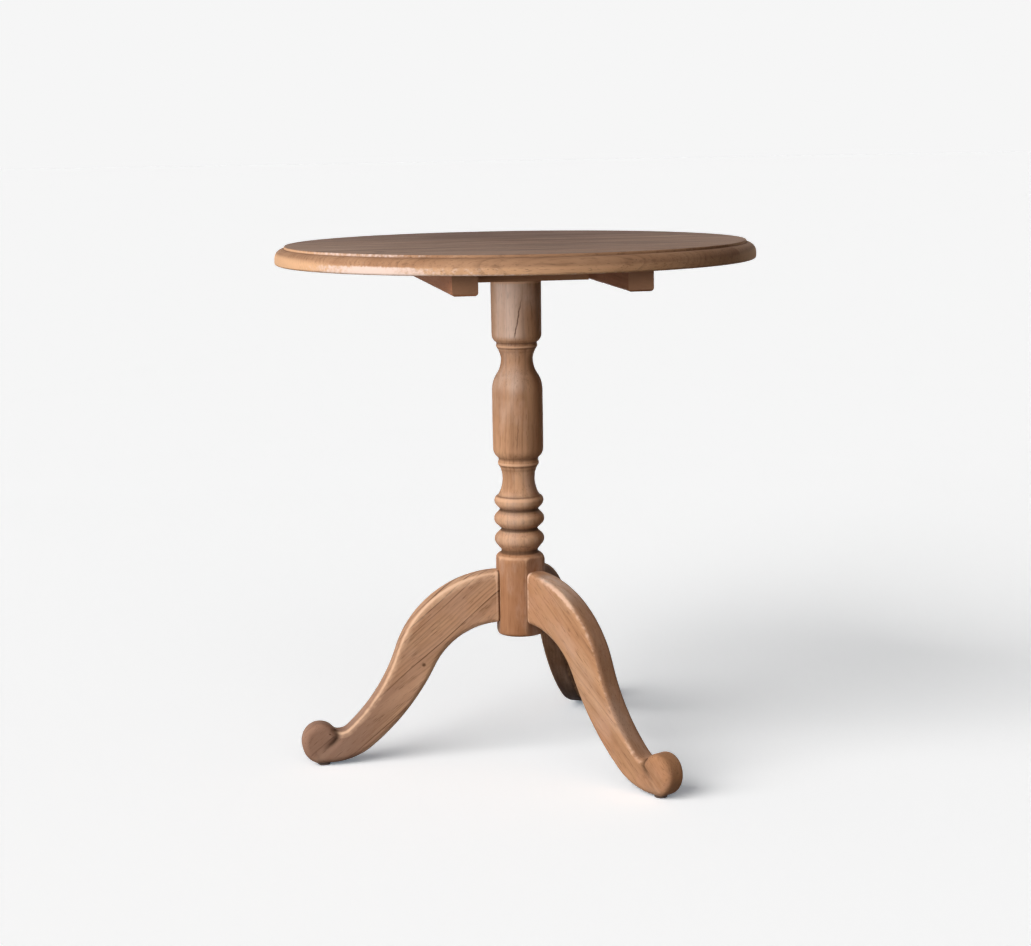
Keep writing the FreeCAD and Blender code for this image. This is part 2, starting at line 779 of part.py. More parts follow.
def draw_leg(sketch):
    at, centre = leg_points()
    leg = Outline(sketch)
    root = leg.line(at["root_high"], at["root_low"])
    arch = leg.arc(centre["arch"], at["shin_arch"], at["root_low"])
    shin = leg.arc(centre["shin"], at["shin_arch"], at["heel_shin"])
    heel = leg.arc(centre["heel"], at["heel_shin"], at["heel"])
    sole = leg.line(at["heel"], at["toe"])
    toe = leg.arc(centre["toe"], at["toe"], at["scroll_toe"])
    scroll = leg.arc(centre["scroll"], at["scroll_toe"], at["notch_scroll"])
    notch = leg.arc(centre["notch"], at["hollow_notch"], at["notch_scroll"])
    hollow = leg.arc(centre["hollow"], at["knee_hollow"], at["hollow_notch"])
    knee = leg.arc(centre["knee"], at["knee_hollow"], at["root_high"])
    leg.rule("Vertical", root)
    leg.rule("Coincident", root, START, knee, END)
    leg.rule("Coincident", root, END, arch, END)
    leg.rule("Vertical", knee, CENTRE, knee, END)
    leg.rule("Vertical", arch, CENTRE, arch, END)
    leg.rule("Tangent", arch, START, shin, START)
    leg.rule("Tangent", shin, END, heel, START)
    leg.rule("Tangent", heel, END, sole, START)
    leg.rule("Horizontal", sole)
    leg.rule("Coincident", sole, END, toe, START)
    leg.rule("Tangent", toe, END, scroll, START)
    leg.rule("Tangent", scroll, END, notch, END)
    leg.rule("Tangent", notch, START, hollow, END)
    leg.rule("Tangent", hollow, START, knee, START)
    leg.size("DistanceX", (*ORIGIN, root, END), FLAT_DISTANCE)
    leg.size("DistanceY", (*ORIGIN, root, END), LEG_FOOT)
    leg.size("DistanceY", (root, END, root, START), "leg_root_depth")
    leg.size("DistanceX", (*ORIGIN, sole, START), "foot_reach - foot_flat / 2")
    leg.size("DistanceX", (sole, START, sole, END), "foot_flat")
    leg.size("DistanceY", (*ORIGIN, sole, START), "glide_height")
    leg.size("DistanceX", (*ORIGIN, scroll, CENTRE), "foot_reach + scroll_lead")
    leg.size("DistanceY", (*ORIGIN, scroll, CENTRE), "glide_height + toe_drop + scroll_radius")
    leg.size("DistanceX", (notch, CENTRE, scroll, CENTRE), "notch_offset")
    leg.size("Radius", (arch,), "arch_radius")
    leg.size("Radius", (shin,), "shin_radius")
    leg.size("Radius", (heel,), HEEL_RADIUS)
    leg.size("Radius", (toe,), "scroll_radius + toe_growth")
    leg.size("Radius", (scroll,), "scroll_radius")
    leg.size("Radius", (notch,), "notch_radius")
    leg.size("Radius", (hollow,), "hollow_radius")
    leg.size("Radius", (knee,), "knee_radius")


def make_leg(name, index):
    body = new_body("leg_" + name)
    sketch = new_sketch(body, "XZ_Plane")
    draw_leg(sketch)
    board = body.newObject("PartDesign::Pad", body.Label + "_board")
    board.Profile = sketch
    board.SideType = "Symmetric"
    bind(board, "Length", "leg_thickness")
    root = worth(FLAT_DISTANCE)
    side = worth("leg_thickness") / 2

    def along_side(edge):
        middle = edge.CenterOfMass
        return abs(abs(middle.y) - side) < NEAR and middle.x > root + NEAR

    soften(body, "Fillet", "Radius", "leg_edge_radius", along_side)
    for place in (-1, 1):
        primitive(
            body, "SubtractiveCylinder", "YZ_Plane",
            {"Radius": LEG_DOWEL_BORE, "Height": "leg_dowel_leg_depth + joint_clearance"},
            {
                "y": LEG_FOOT + " + leg_root_depth / 2 + (%d) * leg_dowel_spacing / 2" % place,
                "z": FLAT_DISTANCE,
            },
        )
    primitive(
        body, "SubtractiveCylinder", "XY_Plane",
        {"Radius": "nail_diameter / 2 + joint_clearance", "Height": "nail_length + joint_clearance"},
        {"x": "foot_reach", "z": "glide_height"},
    )
    body.Placement = leg_place(index)
    return body


def make_leg_dowels():
    body = new_body("leg_dowels")
    primitive(
        body, "AdditiveCylinder", "YZ_Plane",
        {
            "Radius": "leg_dowel_diameter / 2",
            "Height": "leg_dowel_post_depth + leg_dowel_leg_depth - 2 * joint_clearance",
        },
        {
            "y": LEG_FOOT + " + leg_root_depth / 2 - leg_dowel_spacing / 2",
            "z": FLAT_DISTANCE + " - leg_dowel_post_depth + joint_clearance",
        },
    )
    row_of(body, "Z_Axis", "leg_dowel_spacing", DOWELS_PER_LEG)
    ring_of(body, LEG_COUNT)
    body.Placement = leg_place(0)
    return body


def make_glide(name, index):
    body = new_body("glide_" + name)
    place = {"x": "foot_reach"}
    primitive(
        body, "AdditiveCylinder", "XY_Plane",
        {"Radius": "glide_diameter / 2", "Height": "glide_height"},
        place,
    )

    def underneath(edge):
        return abs(edge.CenterOfMass.z) < NEAR and edge.Closed

    soften(body, "Fillet", "Radius", "glide_edge", underneath)
    primitive(
        body, "SubtractiveCylinder", "XY_Plane",
        {"Radius": "nail_diameter / 2 + joint_clearance", "Height": "glide_height"},
        place,
    )
    primitive(
        body, "SubtractiveCylinder", "XY_Plane",
        {"Radius": "nail_head_diameter / 2 + joint_clearance", "Height": "glide_height / 2"},
        place,
    )
    body.Placement = leg_place(index)
    return body


def make_glide_nails():
    """A nail up through each glide, with its head on the seat inside the glide."""
    body = new_body("glide_nails")
    primitive(
        body, "AdditiveCylinder", "XY_Plane",
        {"Radius": "nail_head_diameter / 2", "Height": "nail_head_height"},
        {"x": "foot_reach", "z": "glide_height / 2 - nail_head_height"},
    )
    primitive(
        body, "AdditiveCylinder", "XY_Plane",
        {"Radius": "nail_diameter / 2", "Height": "glide_height / 2 + nail_length"},
        {"x": "foot_reach", "z": "glide_height / 2"},
    )
    ring_of(body, LEG_COUNT)
    body.Placement = leg_place(0)
    return body


def make_table():
    """Every piece of the table, in the order in which it is put together."""
    pieces = [make_post()]
    pieces.append(make_leg_dowels())
    for index, name in enumerate(LEG_NAMES):
        pieces.append(make_leg(name, index))
        pieces.append(make_glide(name, index))
    pieces.append(make_glide_nails())
    pieces.append(make_cross_rail())
    pieces.append(make_tenon_wedge())
    pieces.append(make_batten("batten_left", -1))
    pieces.append(make_batten("batten_right", 1))
    pieces.append(make_batten_row("batten_screws", screw_shape))
    pieces.append(make_rail_row("rail_screws", screw_shape))
    pieces.append(make_seam_row("seam_dowels", "0"))
    holes = doc.addObject("Part::Compound", "top_holes")
    holes.Links = [
        make_batten_row("batten_pilots", pilot_shape),
        make_rail_row("rail_pilots", pilot_shape),
        make_seam_row("seam_holes", "joint_clearance"),
    ]
    pieces.extend(make_boards(make_top_blank(), holes))
    return pieces


def check(pieces):
    """Stops the build if any object failed or any piece is empty or broken."""
    for item in doc.Objects:
        if "Invalid" in item.State or "Error" in item.State:
            raise RuntimeError("%s did not compute: %s" % (item.Label, item.State))
        if item.isDerivedFrom("Sketcher::SketchObject") and not item.FullyConstrained:
            raise RuntimeError("%s is not fully sized" % item.Label)
    for piece in pieces:
        shape = piece.Shape
        if shape.isNull() or not shape.isValid() or not shape.Solids:
            raise RuntimeError("%s has no sound shape" % piece.Label)


table = make_table()
doc.recompute()
check(table)
os.makedirs("parts", exist_ok=True)
for piece in table:
    piece.Shape.exportStep("parts/%s.step" % piece.Label)
    box = piece.Shape.BoundBox
    print("%-14s solids %2d volume %9.0f z %7.2f to %7.2f" % (
        piece.Label, len(piece.Shape.Solids), piece.Shape.Volume, box.ZMin, box.ZMax))
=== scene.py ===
"""Looks of the wine table: turned post, carved legs, planked top, wood finishes, studio and camera."""

import cmath
import math

import bmesh
import bpy
import numpy as np
from mathutils import Matrix, Vector


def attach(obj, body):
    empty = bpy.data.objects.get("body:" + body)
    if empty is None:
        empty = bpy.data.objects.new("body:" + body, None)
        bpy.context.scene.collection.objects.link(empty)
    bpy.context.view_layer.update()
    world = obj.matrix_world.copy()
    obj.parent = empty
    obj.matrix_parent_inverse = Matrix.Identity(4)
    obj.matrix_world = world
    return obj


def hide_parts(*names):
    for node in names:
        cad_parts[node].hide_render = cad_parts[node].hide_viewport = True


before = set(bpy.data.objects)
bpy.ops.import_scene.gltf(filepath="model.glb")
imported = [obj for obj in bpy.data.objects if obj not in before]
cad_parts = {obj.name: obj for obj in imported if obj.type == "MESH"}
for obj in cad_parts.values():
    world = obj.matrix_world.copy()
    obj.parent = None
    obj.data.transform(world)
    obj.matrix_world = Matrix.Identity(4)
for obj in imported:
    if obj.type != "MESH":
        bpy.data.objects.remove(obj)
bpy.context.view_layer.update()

MM = 0.001
BODY = "root"

# Points closer than this are one, in metres: in a finished mesh and on the lathe.
WELD = 0.000005
LATHE_WELD = 0.00001

# Sizes in millimetres. They follow the CAD model, with a finer rim moulding.
TOP_RADIUS = 300.0
TOP_BOTTOM = 637.0
TOP_THICKNESS = 23.0
BOARD_WIDTH = 120.0
BOARD_COUNT = 5
RIM_LIP = 0.8
RIM_STEP = 2.6
RIM_OVOLO = 12.0
RIM_UNDERSIDE = 3.0
RIM_INNER = 280.0
FRAME_BOTTOM = 612.0
TENON_TOP = 636.5
TENON_RADIUS = 18.0
POST_FOOT = 158.5
DRUM_RADIUS = 32.0
DRUM_ROUNDING = 5.5
FLAT_DISTANCE = 29.0
ROOT_REACH = 28.0
LEG_TURNS = {"left": 180.0, "front": 300.0, "rear": 60.0}
LEG_THICKNESS = 30.0
LEG_ROOT_LOW = 175.7
LEG_ROOT_DEPTH = 66.7
SOLE = 3.5
FOOT_REACH = 258.5
FOOT_FLAT = 18.0

# Studio, in the table's own frame. Angles in degrees.
CAMERA_PLACE = (-0.4516, -2.5648, 0.7925)
CAMERA_HEADING = -9.901
CAMERA_PITCH = 9.294
CAMERA_ROLL = -0.877
LENS = 72.314

# How bright the backdrop is, how strongly the floor shows light and shadow, and what it throws back.
PAPER = 0.9216
FLOOR_SHARE = 1.2
FLOOR_BOUNCE = (0.15, 0.12, 0.09)

# The sky is brighter on one side than on the other, by this share of its mean level.
SKY_LEVEL = 0.12
SKY_TILT = 1.0
SKY_SIDE = (222.0, 25.0)
SKY_WARM = (1.0, 0.7, 0.4)
WHITE = (1.0, 1.0, 1.0)

# Lamps: heading and height they shine from, their width as seen from the table, level and colour.
LAMPS = {
    "window": (211.5, 26.0, 54.0, 1.05, (1.0, 0.985, 0.965)),
    "front_fill": (262.0, 30.0, 60.0, 0.13, (1.0, 0.97, 0.93)),
}

# Low spot lamps, one for the frame under the top and one for the back of the table: their heading,
# distance and height, the place they point at, the width of their cone in degrees, size and level.
SPOTS = {
    "low_spot": ((226.0, 2.2, 0.5), (-0.06, -0.1, 0.61), 15.0, 0.2, 0.5),
    "back_spot": ((78.0, 2.0, 0.12), (0.0, 0.0, 0.44), 24.0, 0.3, 0.65),
}


class Socket:
    """A node's output that can be used in sums."""

    def __init__(self, maker, link):
        self.maker = maker
        self.link = link

    def __add__(self, other):
        return self.maker.math("ADD", self, other)

    __radd__ = __add__

    def __sub__(self, other):
        return self.maker.math("SUBTRACT", self, other)

    def __rsub__(self, other):
        return self.maker.math("SUBTRACT", other, self)

    def __mul__(self, other):
        return self.maker.math("MULTIPLY", self, other)

    __rmul__ = __mul__

    def __truediv__(self, other):
        return self.maker.math("DIVIDE", self, other)

    def __rtruediv__(self, other):
        return self.maker.math("DIVIDE", other, self)


class Maker:
    """Builds a node tree, for a material or for a shape."""

    def __init__(self, tree):
        self.tree = tree
        tree.nodes.clear()

    def add(self, kind, sockets=None, **settings):
        """A new node: its settings first, then values or links for its inputs, by name or number."""
        node = self.tree.nodes.new(kind)
        for name, value in settings.items():
            setattr(node, name, value)
        for name, value in (sockets or {}).items():
            entry = node.inputs[name]
            if isinstance(value, Socket):
                self.tree.links.new(value.link, entry)
            elif entry.type == "RGBA":
                entry.default_value = (*value, 1.0)
            else:
                entry.default_value = value
        return node

    def out(self, node, name=0):
        return Socket(self, node.outputs[name])

    def get(self, kind, sockets=None, name=0, **settings):
        """A new node's output."""
        return self.out(self.add(kind, sockets, **settings), name)

    def math(self, operation, *values):
        return self.get("ShaderNodeMath", dict(enumerate(values)), operation=operation)

    def vector(self, operation, *values, name=0):
        return self.get("ShaderNodeVectorMath", dict(enumerate(values)), name, operation=operation)

    def coordinate(self, name):
        return self.get("ShaderNodeTexCoord", None, name)

    def combine(self, x, y, z):
        return self.get("ShaderNodeCombineXYZ", {0: x, 1: y, 2: z})

    def separate(self, value):
        node = self.add("ShaderNodeSeparateXYZ", {0: value})
        return [self.out(node, index) for index in range(3)]

    def noise(self, place, detail=2.0, roughness=0.5, name="Fac"):
        return self.get("ShaderNodeTexNoise", {
            "Vector": place, "Scale": 1.0, "Detail": detail, "Roughness": roughness,
        }, name)

    def speckle(self, place, rates, detail=2.0, roughness=0.5, name="Fac"):
        """Noise with its own rate along each axis."""
        return self.noise(self.vector("MULTIPLY", place, rates), detail, roughness, name)

    def step(self, value, low, high):
        """0 below low and 1 above high, smooth between; the other way round if high is the lower."""
        limits = {"Value": value, "From Min": low, "From Max": high}
        return self.get("ShaderNodeMapRange", limits, interpolation_type="SMOOTHSTEP")

    def mix(self, factor, one, other):
        return self.get("ShaderNodeMix", {0: factor, 6: one, 7: other}, 2, data_type="RGBA")

    def coats(self, colour, look, *layers):
        """The colour under coats of a look's other colours: the share and the name of each."""
        for share, tone in layers:
            colour = self.mix(share, colour, look[tone])
        return colour

    def attribute(self, name):
        return self.get("ShaderNodeAttribute", None, "Fac", attribute_name=name)

    def surface(self, colour, rough, relief, constants=None):
        """Ends a material. The relief is the strength, the distance and the height of its bump."""
        names = ("Strength", "Distance", "Height")
        bump = self.get("ShaderNodeBump", dict(zip(names, relief)))
        shader = self.get("ShaderNodeBsdfPrincipled", {
            "Base Color": colour, "Roughness": rough, "Normal": bump, **(constants or {}),
        })
        self.add("ShaderNodeOutputMaterial", {"Surface": shader})


def new_material(name):
    material = bpy.data.materials.new(name)
    material.use_nodes = True
    return material, Maker(material.node_tree)


def wood(name, look, turn=(0.0, 0.0, 0.0), shift=(0.0, 0.0, 0.0), spots=(), splits=()):
    """Waxed old timber. The turn lays the grain along X and the shift picks a place in the log.

    A spot is a knot or stain: place, radius and strength. A split runs on a turned piece from one
    heading and height to another.
    """
    material, maker = new_material(name)
    mix, step, noise = maker.mix, maker.step, maker.noise
    combine, attribute = maker.combine, maker.attribute
    place = maker.coordinate("Object")
    grain = maker.get("ShaderNodeMapping", {"Vector": place, "Location": shift, "Rotation": turn})
    facing = maker.get(
        "ShaderNodeMapping", {"Vector": maker.coordinate("Normal"), "Rotation": turn},
        vector_type="VECTOR",
    )
    end_grain = step(maker.math("ABSOLUTE", maker.separate(facing)[0]), 0.7, 0.97)

    # Growth rings round a pith, wandering slowly along the log. Some are much darker than the rest.
    drift = maker.speckle(grain, (2.6, 9.0, 9.0), name="Color")
    off_line = maker.vector("SUBTRACT", drift, (0.5, 0.5, 0.5))
    sway = maker.vector("MULTIPLY", off_line, (0.0, 0.03, 0.03))
    along, across, deep = maker.separate(maker.vector("ADD", grain, sway))
    from_pith = combine(0.0, across - look["pith"][0], deep - look["pith"][1])
    ring = maker.vector("LENGTH", from_pith, name="Value")
    count = ring * look["rings"] + noise(combine(along * 2.0, ring * 60.0, 0.0)) * 1.6
    part = maker.math("FRACT", count)
    number = maker.math("FLOOR", count)
    depth = maker.get("ShaderNodeTexWhiteNoise", {"W": number}, "Value", noise_dimensions="1D")
    late_wood = step(part, 0.35, 0.9) * step(part, 1.0, 0.92) * (0.2 + depth * 0.8)
    fade = noise(combine(along * 9.0, ring * 40.0, 7.0))
    bold = step(depth, 0.76, 0.84) * step(part, 0.62, 0.86) * step(part, 1.0, 0.93)
    bold = bold * step(fade, 0.3, 0.55) * (1.0 - attribute("stain_and_shade") * 0.8)

    def drawn_out(length_rate, width_rate, detail=2.0, roughness=0.5):
        """Noise drawn out along the grain. Its rates are per metre."""
        spot = combine(along * length_rate, across * width_rate, deep * width_rate)
        return noise(spot, detail, roughness)

    # Fibres, pores, long clouds of colour and a film of old pale wax.
    fibre = drawn_out(20.0, 560.0, 2.0, 0.6)
    pore = step(drawn_out(70.0, 950.0, 1.0), 0.6, 0.72)
    shade = step(drawn_out(5.0, look["cloud_rate"], 3.0, 0.55), 0.32, 0.68)
    patch = step(drawn_out(4.0, look["cloud_rate"] * 0.7), 0.5, 0.68)
    blush = step(maker.speckle(place, (24.0, 24.0, 24.0), 3.0, 0.6), 0.42, 0.64)
    streak = drawn_out(3.5, look["streak_rate"])
    fleck = step(drawn_out(16.0, 270.0), 0.56, 0.7)
    film = step(drawn_out(11.0, 30.0, 4.0, 0.6), 0.45, 0.75) * look["film"]
    # Painted sheen: a pale film on the parts marked as facing the light.
    film = film + attribute("painted_sheen") * (0.3 + step(streak, 0.3, 0.62) * 0.6)

    # Edges rubbed and chipped down to paler wood.
    chip = maker.speckle(place, look["chips"], 3.0, 0.6)
    rubbed = maker.speckle(place, (15.0, 15.0, 15.0))
    wear = attribute("wear") * (0.45 + rubbed) + (chip - 0.5) * look["ragged"]
    wear = step(wear, 0.3, 0.95) * step(attribute("wear"), 0.0, 0.12)
    # Painted shade in crevices, grooves and joints.
    crevice_shade = attribute("crevice_shade")

    colour = maker.coats(
        mix(shade, look["warm"], look["pale"]), look,
        (patch * look["patches"], "dark"),
        (step(streak, 0.45, 0.6) * look["streaks"], "dark"),
        (late_wood * look["contrast"], "dark"),
        (step(fibre, 0.25, 0.75) * 0.22, "pale"),
        (blush * look["blushes"], "blush"),
        (fleck * look["flecks"], "dark"),
        # Stain, and painted shade where a piece is marked for it.
        (attribute("stain_and_shade"), "stain_and_shade"),
        (film, "haze_and_sheen"),
    )
    if "seam" in look:
        board = maker.separate(place)[1] / (BOARD_WIDTH * MM) + 0.5
        from_seam = maker.math("ABSOLUTE", board - maker.math("ROUND", board))
        colour = mix(step(from_seam, 0.008, 0.002) * look["seam"], colour, look["line"])
    if "ovolo" in look:
        rim = maker.coats(
            mix(attribute("band"), look["ovolo"], look["band"]), look,
            (shade * 0.4, "band_pale"),
            (late_wood * 0.2 + fleck * 0.25, "dark"),
            # Painted shade on the rim where it is marked for it.
            (attribute("stain_and_shade"), "dark"),
        )
        colour = mix(attribute("edge"), colour, rim)
        bold = bold * (1.0 - attribute("edge") * 0.75)
    colour = maker.coats(
        colour, look,
        (bold * look["lines"], "line"),
        (pore * look["pores"], "line"),
        (end_grain * look["end_share"], "end"),
        (wear * look["wear"], "worn"),
        # Painted shade in crevices and joints.
        (crevice_shade * 0.8, "crevice_shade"),
    )
    for middle, radius, strength in spots:
        gap = maker.vector("DISTANCE", place, middle, name="Value") + (chip - 0.5) * (radius * 0.9)
        colour = mix(step(gap, radius, radius * 0.3) * strength, colour, look["line"])
    height = fibre * 0.5 - late_wood * 0.25 - pore * 0.6 - bold * 0.5
    if splits:
        x, y, z = maker.separate(place)
        heading = maker.math("ARCTAN2", y, x)
    for (top_heading, top), (low_heading, low), width, strength in splits:
        share = (z - low) / (top - low)
        lean = math.radians(top_heading - low_heading)
        middle = math.radians(low_heading - 360.0) + share * lean
        aside = maker.math("ABSOLUTE", heading - middle + (chip - 0.5) * 0.12)
        ends = step(share, 0.0, 0.15) * step(share, 1.0, 0.5)
        gap = step(aside, width, width * 0.2) * ends
        colour = mix(gap * strength, colour, look["line"])
        height = height - gap * (strength * 1.7)

    rough = 0.5 + fibre * 0.16 + wear * 0.1 + crevice_shade * 0.15
    maker.surface(colour, rough, (0.3, 0.0006, height), {"Specular IOR Level": look["gloss"]})
    return material


# Looks of the woods: colours as red, green and blue, shares from 0 to 1 and rates per metre.
LEG_LOOK = dict(
    warm=(0.45, 0.24, 0.137), pale=(0.56, 0.335, 0.205), dark=(0.22, 0.105, 0.055),
    # crevice_shade is the colour of painted shade in crevices and joints.
    line=(0.075, 0.033, 0.02), worn=(0.72, 0.43, 0.27), crevice_shade=(0.04, 0.02, 0.012),
    # haze_and_sheen is the pale colour of old wax and of painted sheen.
    haze_and_sheen=(0.52, 0.35, 0.26), stain_and_shade=(0.25, 0.132, 0.083), end=(0.26, 0.13, 0.065), end_share=0.4,
    pith=(0.03, 0.17), rings=250.0, contrast=0.7, streaks=0.45, streak_rate=85.0, patches=0.35,
    cloud_rate=22.0, flecks=0.35, lines=0.85, pores=0.4, film=0.3, blush=(0.5, 0.28, 0.185),
    # stain_and_shade colours the darker foot and the painted shade; foot_darkening, shin_shade and
    # under_shade say how much.
    blushes=0.3, wear=0.6, ragged=0.8, chips=(130.0, 130.0, 130.0), gloss=0.04, foot_darkening=0.3,
    shin_shade=0.2, under_shade=0.0, knee_sheen=0.0, top_wear=0.2, edge_spread=0.2, edge_least=0.6,
)
# The left leg: a lighter copy of the leg wood that is painted light; its wide pale top band is wear
# and painted highlight.
LIT_LEFT_LEG_LOOK = dict(
    LEG_LOOK, warm=(0.52, 0.278, 0.16), pale=(0.65, 0.398, 0.246), dark=(0.27, 0.134, 0.074),
    blush=(0.58, 0.345, 0.235), blushes=0.4, stain_and_shade=(0.29, 0.168, 0.12), patches=0.2, wear=0.9,
    worn=(0.77, 0.51, 0.345), ragged=0.5, foot_darkening=0.85, shin_shade=0.0, knee_sheen=0.1,
    top_wear=0.35, edge_spread=0.6, edge_least=0.85,
)
FRONT_LEG_LOOK = dict(
    LEG_LOOK, pith=(0.13, 0.05), rings=190.0, contrast=0.28, streaks=0.3, patches=0.15, flecks=0.25,
    lines=0.12, wear=0.9, worn=(0.74, 0.49, 0.355), ragged=1.2, warm=(0.42, 0.208, 0.106),
    pale=(0.54, 0.307, 0.173), haze_and_sheen=(0.85, 0.76, 0.7), blush=(0.52, 0.275, 0.168), blushes=0.45,
    film=0.1, foot_darkening=0.0, shin_shade=0.6, knee_sheen=0.35, top_wear=0.0, edge_spread=0.0,
    edge_least=0.4,
)
# The rear leg: a darker copy of the leg wood that is painted shade, with painted shade on its
# underside.
SHADED_REAR_LEG_LOOK = dict(
    LEG_LOOK, warm=(0.25, 0.125, 0.068), pale=(0.31, 0.175, 0.1), dark=(0.12, 0.056, 0.029),
    blush=(0.27, 0.14, 0.09), stain_and_shade=(0.045, 0.024, 0.016), foot_darkening=0.15, under_shade=0.9,
)
POST_LOOK = dict(
    LEG_LOOK, warm=(0.44, 0.222, 0.115), pale=(0.56, 0.322, 0.187), pith=(0.012, 0.09), rings=200.0,
    contrast=0.3, streak_rate=60.0, flecks=0.4, lines=0.1, pores=0.25, wear=0.75, gloss=0.05,
    haze_and_sheen=(0.85, 0.64, 0.53), stain_and_shade=(0.32, 0.135, 0.06), blush=(0.54, 0.29, 0.17), blushes=0.35,
)
TOP_LOOK = dict(
    LEG_LOOK, warm=(0.15, 0.078, 0.046), pale=(0.25, 0.149, 0.097), dark=(0.063, 0.03, 0.018),
    line=(0.05, 0.027, 0.019), worn=(0.68, 0.54, 0.48), haze_and_sheen=(0.41, 0.275, 0.205),
    stain_and_shade=(0.1, 0.05, 0.037), ovolo=(0.29, 0.15, 0.082), band=(0.45, 0.25, 0.135),
    band_pale=(0.6, 0.37, 0.225), end=(0.84, 0.51, 0.3), end_share=0.6, blush=(0.2, 0.105, 0.067),
    pith=(0.6, 0.3), rings=190.0, contrast=0.65, streaks=0.6, streak_rate=40.0, patches=0.4,
    cloud_rate=14.0, flecks=0.4, lines=0.4, film=0.25, wear=0.85, ragged=1.2,
    chips=(230.0, 230.0, 230.0), seam=0.6,
)
FRAME_LOOK = dict(
    LEG_LOOK, warm=(0.37, 0.152, 0.073), pale=(0.41, 0.178, 0.09), dark=(0.18, 0.07, 0.031),
    end=(0.195, 0.115, 0.072), end_share=0.75, pith=(0.05, 0.04), rings=230.0, contrast=0.4,
    streaks=0.3, lines=0.3, film=0.1, gloss=0.03, blush=(0.36, 0.14, 0.07), haze_and_sheen=(0.42, 0.22, 0.13),
)
# A darker copy of the frame wood, painted shade, for the right batten.
SHADED_FRAME_LOOK = dict(
    FRAME_LOOK, warm=(0.21, 0.083, 0.04), pale=(0.25, 0.105, 0.053), dark=(0.11, 0.042, 0.02),
    blush=(0.2, 0.078, 0.038), haze_and_sheen=(0.26, 0.13, 0.075), end=(0.35, 0.195, 0.12),
)
# A darker copy of the frame wood, painted shade, for the cross rail under the top.
SHADED_RAIL_LOOK = dict(
    FRAME_LOOK, warm=(0.29, 0.145, 0.078), pale=(0.34, 0.178, 0.1), dark=(0.16, 0.075, 0.04),
    blush=(0.28, 0.135, 0.072),
)
DOWEL_LOOK = dict(
    LEG_LOOK, warm=(0.56, 0.4, 0.23), pale=(0.63, 0.48, 0.31), dark=(0.42, 0.28, 0.15),
    line=(0.3, 0.19, 0.1), haze_and_sheen=(0.6, 0.47, 0.33), end=(0.45, 0.31, 0.18), pith=(0.03, 0.02),
    rings=300.0, contrast=0.3, lines=0.2, blushes=0.0,
)

# How light each board of the top is beside the others.
BOARD_TONES = (1.05, 0.94, 1.08, 0.9, 1.02)

# How much further along, across and into its log each next board or leg is cut, in metres.
BOARD_SHIFT = (0.37, 0.0137, 0.021)
LEG_SHIFT = (0.41, 0.0, 0.0)

# Turns that lay along X the grain of a piece that stands upright or runs along Y.
UPRIGHT = (0.0, math.radians(90.0), 0.0)
ALONG_Y = (0.0, 0.0, math.radians(90.0))


def toned(look, tone):
    """The same wood from a lighter or darker tree."""
    changed = {}
    for name in ("warm", "pale", "dark"):
        changed[name] = tuple(tone * part for part in look[name])
    return {**look, **changed}


def steel(name):
    """Zinc-plated steel, dulled and lightly scratched."""
    material, maker = new_material(name)
    place = maker.coordinate("Object")
    scratch = maker.speckle(place, (900.0, 3200.0, 900.0), 3.0, 0.6)
    dull = maker.speckle(place, (240.0, 240.0, 240.0))
    colour = maker.mix(maker.step(dull, 0.35, 0.7), (0.56, 0.53, 0.47), (0.33, 0.29, 0.23))
    maker.surface(colour, 0.3 + scratch * 0.25, (0.2, 0.0001, scratch), {"Metallic": 1.0})
    return material


def glide_plastic(name):
    """Dark matt plastic, scuffed grey by the floor."""
    material, maker = new_material(name)
    place = maker.coordinate("Object")
    pebble = maker.speckle(place, (1800.0, 1800.0, 1800.0))
    scuff = maker.speckle(place, (420.0, 420.0, 120.0), 4.0, 0.7)
    scuffed = maker.step(scuff, 0.5, 0.75) * 0.5
    colour = maker.mix(scuffed, (0.07, 0.042, 0.03), (0.16, 0.12, 0.1))
    maker.surface(colour, 0.55 + scuff * 0.25, (0.25, 0.0002, pebble))
    return material


# Shape trees.

def new_tree(name, **inputs):
    """An empty shape tree with a geometry input and output and the named inputs of each kind."""
    tree = bpy.data.node_groups.new(name, "GeometryNodeTree")
    tree.interface.new_socket("Geometry", in_out="OUTPUT", socket_type="NodeSocketGeometry")
    for kind, labels in {"Geometry": ["Geometry"], "Material": ["Material"], **inputs}.items():
        for label in labels:
            tree.interface.new_socket(label, in_out="INPUT", socket_type="NodeSocket" + kind)
    maker = Maker(tree)
    entry = maker.add("NodeGroupInput")
    return tree, maker, lambda label: maker.out(entry, label)


def finish_tree(maker, shape, material):
    """Realizes the shape, gives it its material and ends the tree."""
    real = maker.get("GeometryNodeRealizeInstances", {"Geometry": shape})
    dressed = maker.get("GeometryNodeSetMaterial", {"Geometry": real, "Material": material})
    maker.add("NodeGroupOutput", {0: dressed})


